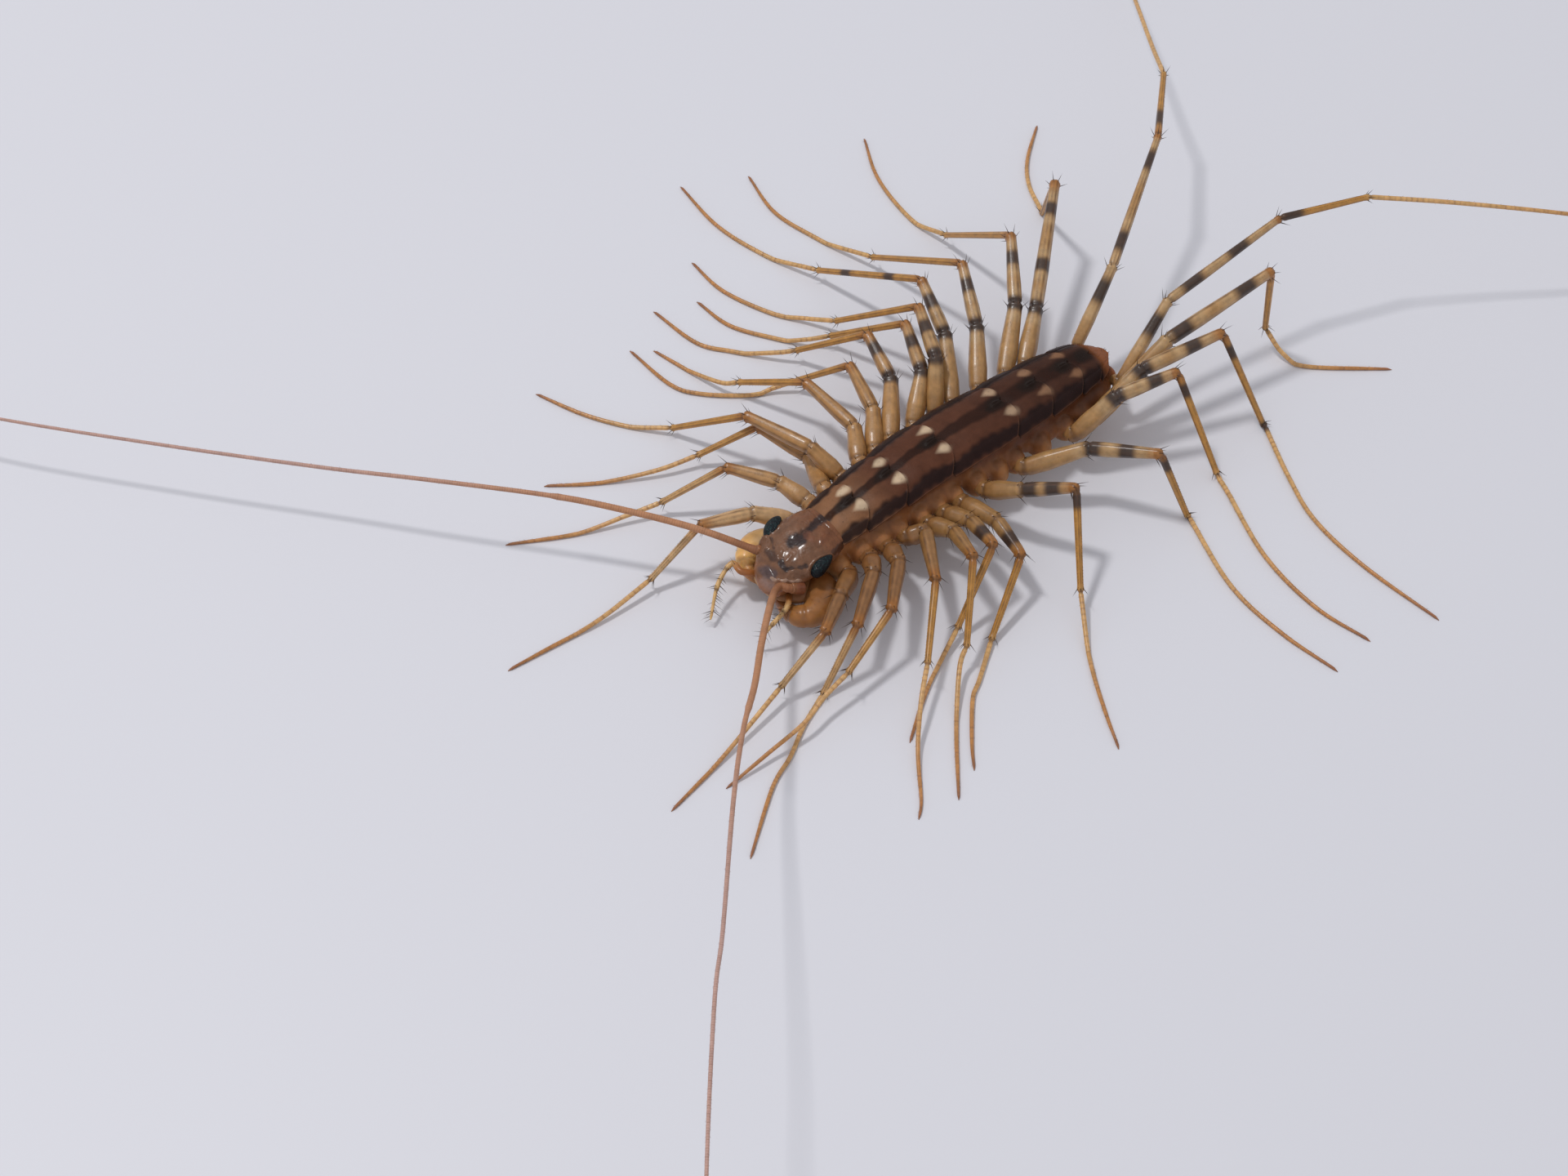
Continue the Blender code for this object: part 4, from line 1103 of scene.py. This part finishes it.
def head_surface():
    """Points of the head's rings, from its front to the neck."""
    along = HEAD_STATIONS[0] + (HEAD_STATIONS[-1] - HEAD_STATIONS[0]) * np.linspace(0, 1, HEAD_ROWS) ** 1.15
    wide, top, low = (smooth_table(HEAD_STATIONS, sizes, along)[:, None]
                      for sizes in (HEAD_HALF_WIDTHS, HEAD_TOPS, HEAD_BOTTOMS))
    angles = turns(HEAD_SIDES)
    x, z = squared(np.sin(angles), 2 / HEAD_ROUNDNESS), squared(np.cos(angles), 2 / HEAD_ROUNDNESS)
    lean = HEAD_LEAN * (1 - ramp(HEAD_STATIONS[0], -11.9, along))
    return np.stack([wide * x + lean[:, None], np.repeat(along[:, None], HEAD_SIDES, 1),
                     (top + low) / 2 + (top - low) / 2 * z], axis=-1)


def line_gap(pixels, start, end):
    """Distance on the photograph from pixels to a short line."""
    start, end = np.array(start, float), np.array(end, float)
    line = end - start
    share = np.clip(((pixels - start) @ line) / max(line @ line, 1e-9), 0, 1)
    return np.linalg.norm(pixels - start - share[..., None] * line, axis=-1)


def grain(x, y, size, count, seed):
    """An irregular relief of about -1 to 1 from waves that cross at many angles."""
    draw = np.random.default_rng(seed)
    total = np.zeros_like(x)
    for wave in range(count):
        angle, phase = draw.uniform(0, math.pi), draw.uniform(0, math.tau)
        pitch = size * draw.uniform(0.6, 2.6)
        total += np.sin(pitch * (x * math.cos(angle) + y * math.sin(angle)) + phase)
    return total / math.sqrt(count)


def head_relief(x, y, z):
    """Height added to the head: swellings, the middle groove, sutures, rims of eyes and sockets."""
    lift = np.zeros_like(x)
    for bump_x, bump_y, wide, size in HEAD_SWELLINGS:
        lift += size * bell(np.hypot(np.abs(x) - bump_x, y - bump_y), wide)
    lift -= 0.09 * bell(x, 0.1) * ramp(-11.3, -10.6, y)
    lift -= 0.06 * bell(y + 13.05 + 0.25 * x * x, 0.07) * (np.abs(x) < 1.1)
    lift -= 0.05 * bell(y + 9.15 - 0.1 * x * x, 0.06)
    suture = np.abs(x) - 1.05 - 0.55 * (y + 12.6)
    lift -= 0.05 * bell(suture, 0.07) * ramp(-12.7, -12.5, y) * (1 - ramp(-11.7, -11.4, y))
    for side in SIDES:
        base = FIRST_ARTICLES[side][0]
        socket = np.hypot(x - base[0], y - base[1]) / 0.5
        lift += 0.1 * bell(socket - 1.0, 0.25) - 0.12 * bell(socket, 0.6)
        gap = np.sqrt(sum(((place - middle) / reach) ** 2
                          for place, middle, reach in zip((x, y, z), EYE_CENTRES[side], EYE_RADII[side])))
        lift += 0.07 * bell(gap - 1.15, 0.14)
    return lift + HEAD_GRAIN * grain(x, y, 6.0, 14, 21)


def make_head():
    points = head_surface()
    x, y, z = points[..., 0], points[..., 1], points[..., 2]
    top_share = ramp(2.7, 3.4, z + 0.55 * (1 - ramp(-14.0, -13.0, y)))
    pixels = photo_pixels(points.reshape(-1, 3)).reshape(HEAD_ROWS, HEAD_SIDES, 2)
    relief = head_relief(x, y, z)
    for start, end, reach, height in HEAD_RIDGES:
        relief = relief + height * bell(line_gap(pixels, start, end), reach)
    points[..., 2] += relief * top_share
    tint = painted(np.broadcast_to(HEAD_SIDE, points.shape), (HEAD_BROWN, top_share),
                   (HEAD_REAR, 0.7 * ramp(-10.9, -9.2, y) * top_share))
    for start, end, reach, colour, strength in HEAD_MARKS:
        gap = line_gap(pixels, start, end) + 0.8 * np.sin(9 * x + 4 * y) + 0.6 * np.sin(17 * y)
        tint = blend(tint, colour, strength * (1 - ramp(reach * 0.55, reach * 1.25, gap)) * top_share)
    surface = Surface()
    surface.add_rings(points, tint)
    for side in SIDES:
        base, ahead = (np.array(point) for point in FIRST_ARTICLES[side][:2])
        steps = np.linspace(SOCKET_PLACES[0], SOCKET_PLACES[-1], 14)
        radii = np.interp(steps, SOCKET_PLACES, SOCKET_RADII)
        tint = blend(SOCKET_RED, FEELER_BASE, ramp(-0.1, 0.25, steps))
        add_tube(surface, base + steps[:, None] * unit(ahead - base), radii, tint, 20)
    surface.make("head_shell", HEAD_MATERIAL, ["head"])
    add_head_bristles(points, top_share)


def add_head_bristles(points, top_share):
    bristles = Surface()
    draw = np.random.default_rng(5)
    for hair in range(HEAD_HAIRS):
        row = int(draw.uniform(0.02, 0.98) * HEAD_ROWS)
        column = int(draw.uniform(-0.22, 0.22) * HEAD_SIDES) % HEAD_SIDES
        root = points[row, column]
        if top_share[row, column] > 0.5:
            lean = np.array([0.3 * root[0], -0.5, 1.0]) + draw.normal(0, 0.3, 3)
            add_bristle(bristles, root, lean, draw.uniform(*HEAD_HAIR_LENGTHS), SHORT_HAIR_RADIUS,
                        BRISTLE_BROWN, strip_spot(0, 1, row / HEAD_ROWS, column / HEAD_SIDES))
    bristles.make("head_bristles", BRISTLE_MATERIAL)


def on_sphere(polar, turn):
    return np.stack([np.cos(turn) * np.sin(polar), np.sin(turn) * np.sin(polar), np.cos(polar)], axis=-1)


def make_eyes():
    """Each eye is a dome of several hundred small round facets, some of them with a painted green glint."""
    index = np.arange(EYE_FACETS) + 0.5
    centres = on_sphere(np.arccos(1 - 2 * index / EYE_FACETS), math.pi * (1 + 5 ** 0.5) * index)
    latitudes = np.linspace(0.02, math.pi - 0.02, EYE_ROWS)
    flat = on_sphere(*np.meshgrid(latitudes, turns(EYE_COLUMNS), indexing="ij")).reshape(-1, 3)
    near = [chunk @ centres.T for chunk in np.array_split(flat, 20)]
    gap = np.arccos(np.clip(np.concatenate([part.max(axis=1) for part in near]), -1, 1))
    owner = np.concatenate([part.argmax(axis=1) for part in near])
    dome = np.clip(1 - (gap / math.sqrt(4 / EYE_FACETS)) ** 2, 0, 1)
    # Painted glints: random facets, more of them towards the top of the eye, are tinted green as if they
    # caught the lamps.
    painted_glint = np.random.default_rng(2).uniform(0, 1, EYE_FACETS)[owner] ** 3
    tint = painted(np.broadcast_to(EYE_BLACK, flat.shape), (EYE_BLUE, dome * 0.5),
                   (EYE_GLINT_GREEN, painted_glint * dome * ramp(0.0, 0.6, flat[:, 2])))
    taper = 1.0 - EYE_TAPER * flat[:, 1]
    for side in SIDES:
        points = flat * (1.0 + FACET_HEIGHT * dome)[:, None] * np.array(EYE_RADII[side])
        points[:, 0] = points[:, 0] * taper - EYE_SKEW[side] * points[:, 1]
        points[:, 2] = points[:, 2] * taper + EYE_DIP * points[:, 1]
        points = points + np.array(EYE_CENTRES[side])
        surface = Surface()
        surface.add_rings(points.reshape(EYE_ROWS, EYE_COLUMNS, 3), tint)
        surface.make(f"eye_{side}_facets", EYE_MATERIAL, [f"eye_{side}"])


# Poison claws and palps

CLAW_COURSES = {
    "right": ((-1.0, -10.4, 1.6), (-2.25, -10.9, 1.65), (-2.78, -11.7, 1.65), (-2.65, -12.4, 1.6),
              (-2.1, -12.95, 1.55), (-1.3, -13.2, 1.45), (-0.45, -13.2, 1.3)),
    "left": ((1.0, -10.4, 1.6), (2.35, -11.0, 1.65), (3.15, -11.95, 1.65), (3.1, -12.75, 1.6),
             (2.4, -13.2, 1.45), (1.25, -13.15, 1.25), (0.4, -13.0, 1.15)),
}
CLAW_RADII = (0.45, 0.7, 0.77, 0.7, 0.58, 0.36, 0.04)
CLAW_BREADTH = 1.42
CLAW_VOXEL_MM = 0.045
CLAW_JOINTS = (0.56, 0.68, 0.76)
CLAW_HAIRS = 60
CLAW_HAIR = ((0.1, 0.3), 0.012, 0.7)
PALPS = {
    "right": ((908, 700, 2.1), (896, 690, 2.05), (879, 716, 1.6), (870, 759, 0.6)),
    "left": ((965, 740, 2.2), (958, 751, 2.1), (943, 768, 1.6), (929, 786, 0.7)),
}
PALP_JOINTS = (0.45, 0.69)
PALP_PLACES = (0, 0.25, 0.44, 0.46, 0.68, 0.7, 0.96, 1.0)
PALP_RADII = (0.22, 0.19, 0.16, 0.13, 0.15, 0.11, 0.085, 0.04)
PALP_HAIRS = 46
PALP_HAIR = ((0.3, 0.8), 0.018, 0.5)
PALP_BASES = {"right": (-0.9, -12.9, 1.8), "left": (1.25, -12.5, 1.85)}
CLAW_TAN = srgb(206, 166, 114)
CLAW_AMBER = srgb(236, 184, 110)
CLAW_BROWN = srgb(160, 98, 48)
CLAW_DARK = srgb(80, 40, 24)
# Painted light and shade by side: the right claw, lit through by the key lamp, is painted a paler tan, and
# the left claw, in shade, a darker brown.
CLAW_LIGHT_AND_SHADE = {"right": (CLAW_TAN, 0.2), "left": (srgb(130, 74, 30), 0.84)}
PALP_PALE = srgb(206, 168, 112)
MOUTH_STEP = 0.05
MOUTH_STRIPS = 4


def make_claw(side, strip, bristles, draw):
    """A curved, flattened claw with three seams, fused so that its bends close."""
    course, at = even_course(smooth_course(CLAW_COURSES[side], 14), MOUTH_STEP)
    share = at / at[-1]
    radii = smooth_table(np.linspace(0, 1, len(CLAW_RADII)), CLAW_RADII, share)
    for joint in CLAW_JOINTS:
        radii = radii - 0.05 * bell(share - joint, 0.014)
    # The last coat is the side's painted light on the right claw and painted shade on the left.
    tints = painted(
        CLAW_BROWN, (CLAW_TAN, ramp(0.05, 0.3, share)), (CLAW_AMBER, ramp(0.35, 0.55, share)),
        (CLAW_BROWN, ramp(0.7, 0.85, share)), (CLAW_DARK, ramp(0.86, 0.97, share)),
        *((CLAW_DARK, 0.22 * bell(share - joint, 0.012)) for joint in CLAW_JOINTS), CLAW_LIGHT_AND_SHADE[side])
    breadth = 1.0 + (CLAW_BREADTH - 1.0) * (1 - ramp(0.15, 0.75, share))
    tube = Surface()
    add_tube(tube, course, radii, tints, 48, wide=breadth[:, None])
    points, faces = fused(tube, CLAW_VOXEL_MM, 2)
    nearest = np.concatenate([np.argmin(np.linalg.norm(part[:, None] - course, axis=2), axis=1)
                              for part in np.array_split(points, 40)])
    surface = Surface()
    surface.add(points, faces, tints[nearest])
    surface.make(f"poison_claw_{side}_shell", CLAW_MATERIAL, [f"poison_claw_{side}"])
    limb = Limb(course, at, radii, strip, MOUTH_STRIPS, at[-1])
    limb.breadth, limb.sunk = breadth, 0.95
    for hair in range(CLAW_HAIRS):
        index = int(draw.uniform(0.15, 0.9) * (len(at) - 1))
        limb.drawn_hair(bristles, draw, index, *CLAW_HAIR)


def make_palp(side, strip, bristles, draw):
    course, at = even_course(smooth_course([PALP_BASES[side], *photo_points(PALPS[side])], 12), MOUTH_STEP)
    share = at / at[-1]
    radii = np.interp(share, PALP_PLACES, PALP_RADII)
    tints = painted(CLAW_BROWN, (PALP_PALE, ramp(0.2, 0.45, share)), (FOOT_AMBER, 0.6 * share ** 2),
                    *((LEG_LINE, 0.7 * bell(share - joint, 0.02)) for joint in PALP_JOINTS))
    make_tube(f"palp_{side}", LEG_MATERIAL, "leg", course, radii, tints, 16)
    limb = Limb(course, at, radii, strip, MOUTH_STRIPS, at[-1])
    for hair in range(PALP_HAIRS):
        index = int(draw.uniform(0.3, 1.0) * (len(at) - 1))
        limb.drawn_hair(bristles, draw, index, *PALP_HAIR)


def make_mouth_parts():
    bristles = Surface()
    draw = np.random.default_rng(3)
    for strip, side in enumerate(SIDES):
        make_claw(side, strip, bristles, draw)
        make_palp(side, strip + 2, bristles, draw)
    bristles.make("mouth_bristles", BRISTLE_MATERIAL)


# Floor, light and camera

FLOOR_SIZE = 4.0
FLOOR_GREY = srgb(224, 223, 229)
SKY_COLOUR = (0.93, 0.95, 1.0, 1.0)
SKY_STRENGTH = 0.55
LIGHTS = {"key": ((-0.341, -0.212, 1.0), 0.5, 0.06, 0.9), "fill": ((0.8, -0.9, 0.9), 0.7, 0.5, 0.25)}


def make_stage():
    bpy.ops.mesh.primitive_plane_add(size=FLOOR_SIZE, location=(0, 0, 0))
    floor = bpy.context.object
    floor.name = "floor"
    material = bpy.data.materials.new("floor")
    material.use_nodes = True
    set_inputs(material.node_tree.nodes["Principled BSDF"],
               {"Base Color": (*FLOOR_GREY, 1.0), "Roughness": 0.5})
    floor.data.materials.append(material)
    world = bpy.data.worlds.new("studio")
    world.use_nodes = True
    set_inputs(world.node_tree.nodes["Background"], {"Color": SKY_COLOUR, "Strength": SKY_STRENGTH})
    bpy.context.scene.world = world
    for name, light in LIGHTS.items():
        add_light(name, *light)


def add_light(name, direction, distance, size, power):
    lamp = bpy.data.lights.new(name, "AREA")
    lamp.energy = power
    lamp.shape = "DISK"
    lamp.size = size
    obj = new_object(name, lamp)
    away = Vector(direction).normalized()
    obj.location = away * distance
    obj.rotation_euler = away.to_track_quat("Z", "Y").to_euler()


def make_camera():
    data = bpy.data.cameras.new("view")
    data.lens = LENS_MM
    data.sensor_width = SENSOR_MM
    data.clip_start = 0.01
    camera = new_object("view", data)
    camera.location = Vector((VIEW_EYE + BODY_PLACE) * MM)
    camera.rotation_euler = Vector(VIEW_BACK).to_track_quat("Z", "Y").to_euler()
    bpy.context.scene.camera = camera
    bpy.context.scene.view_settings.view_transform = "Standard"


make_camera()
make_stage()
make_plates()
make_skin()
make_legs()
make_antennae()
make_head()
make_eyes()
make_mouth_parts()
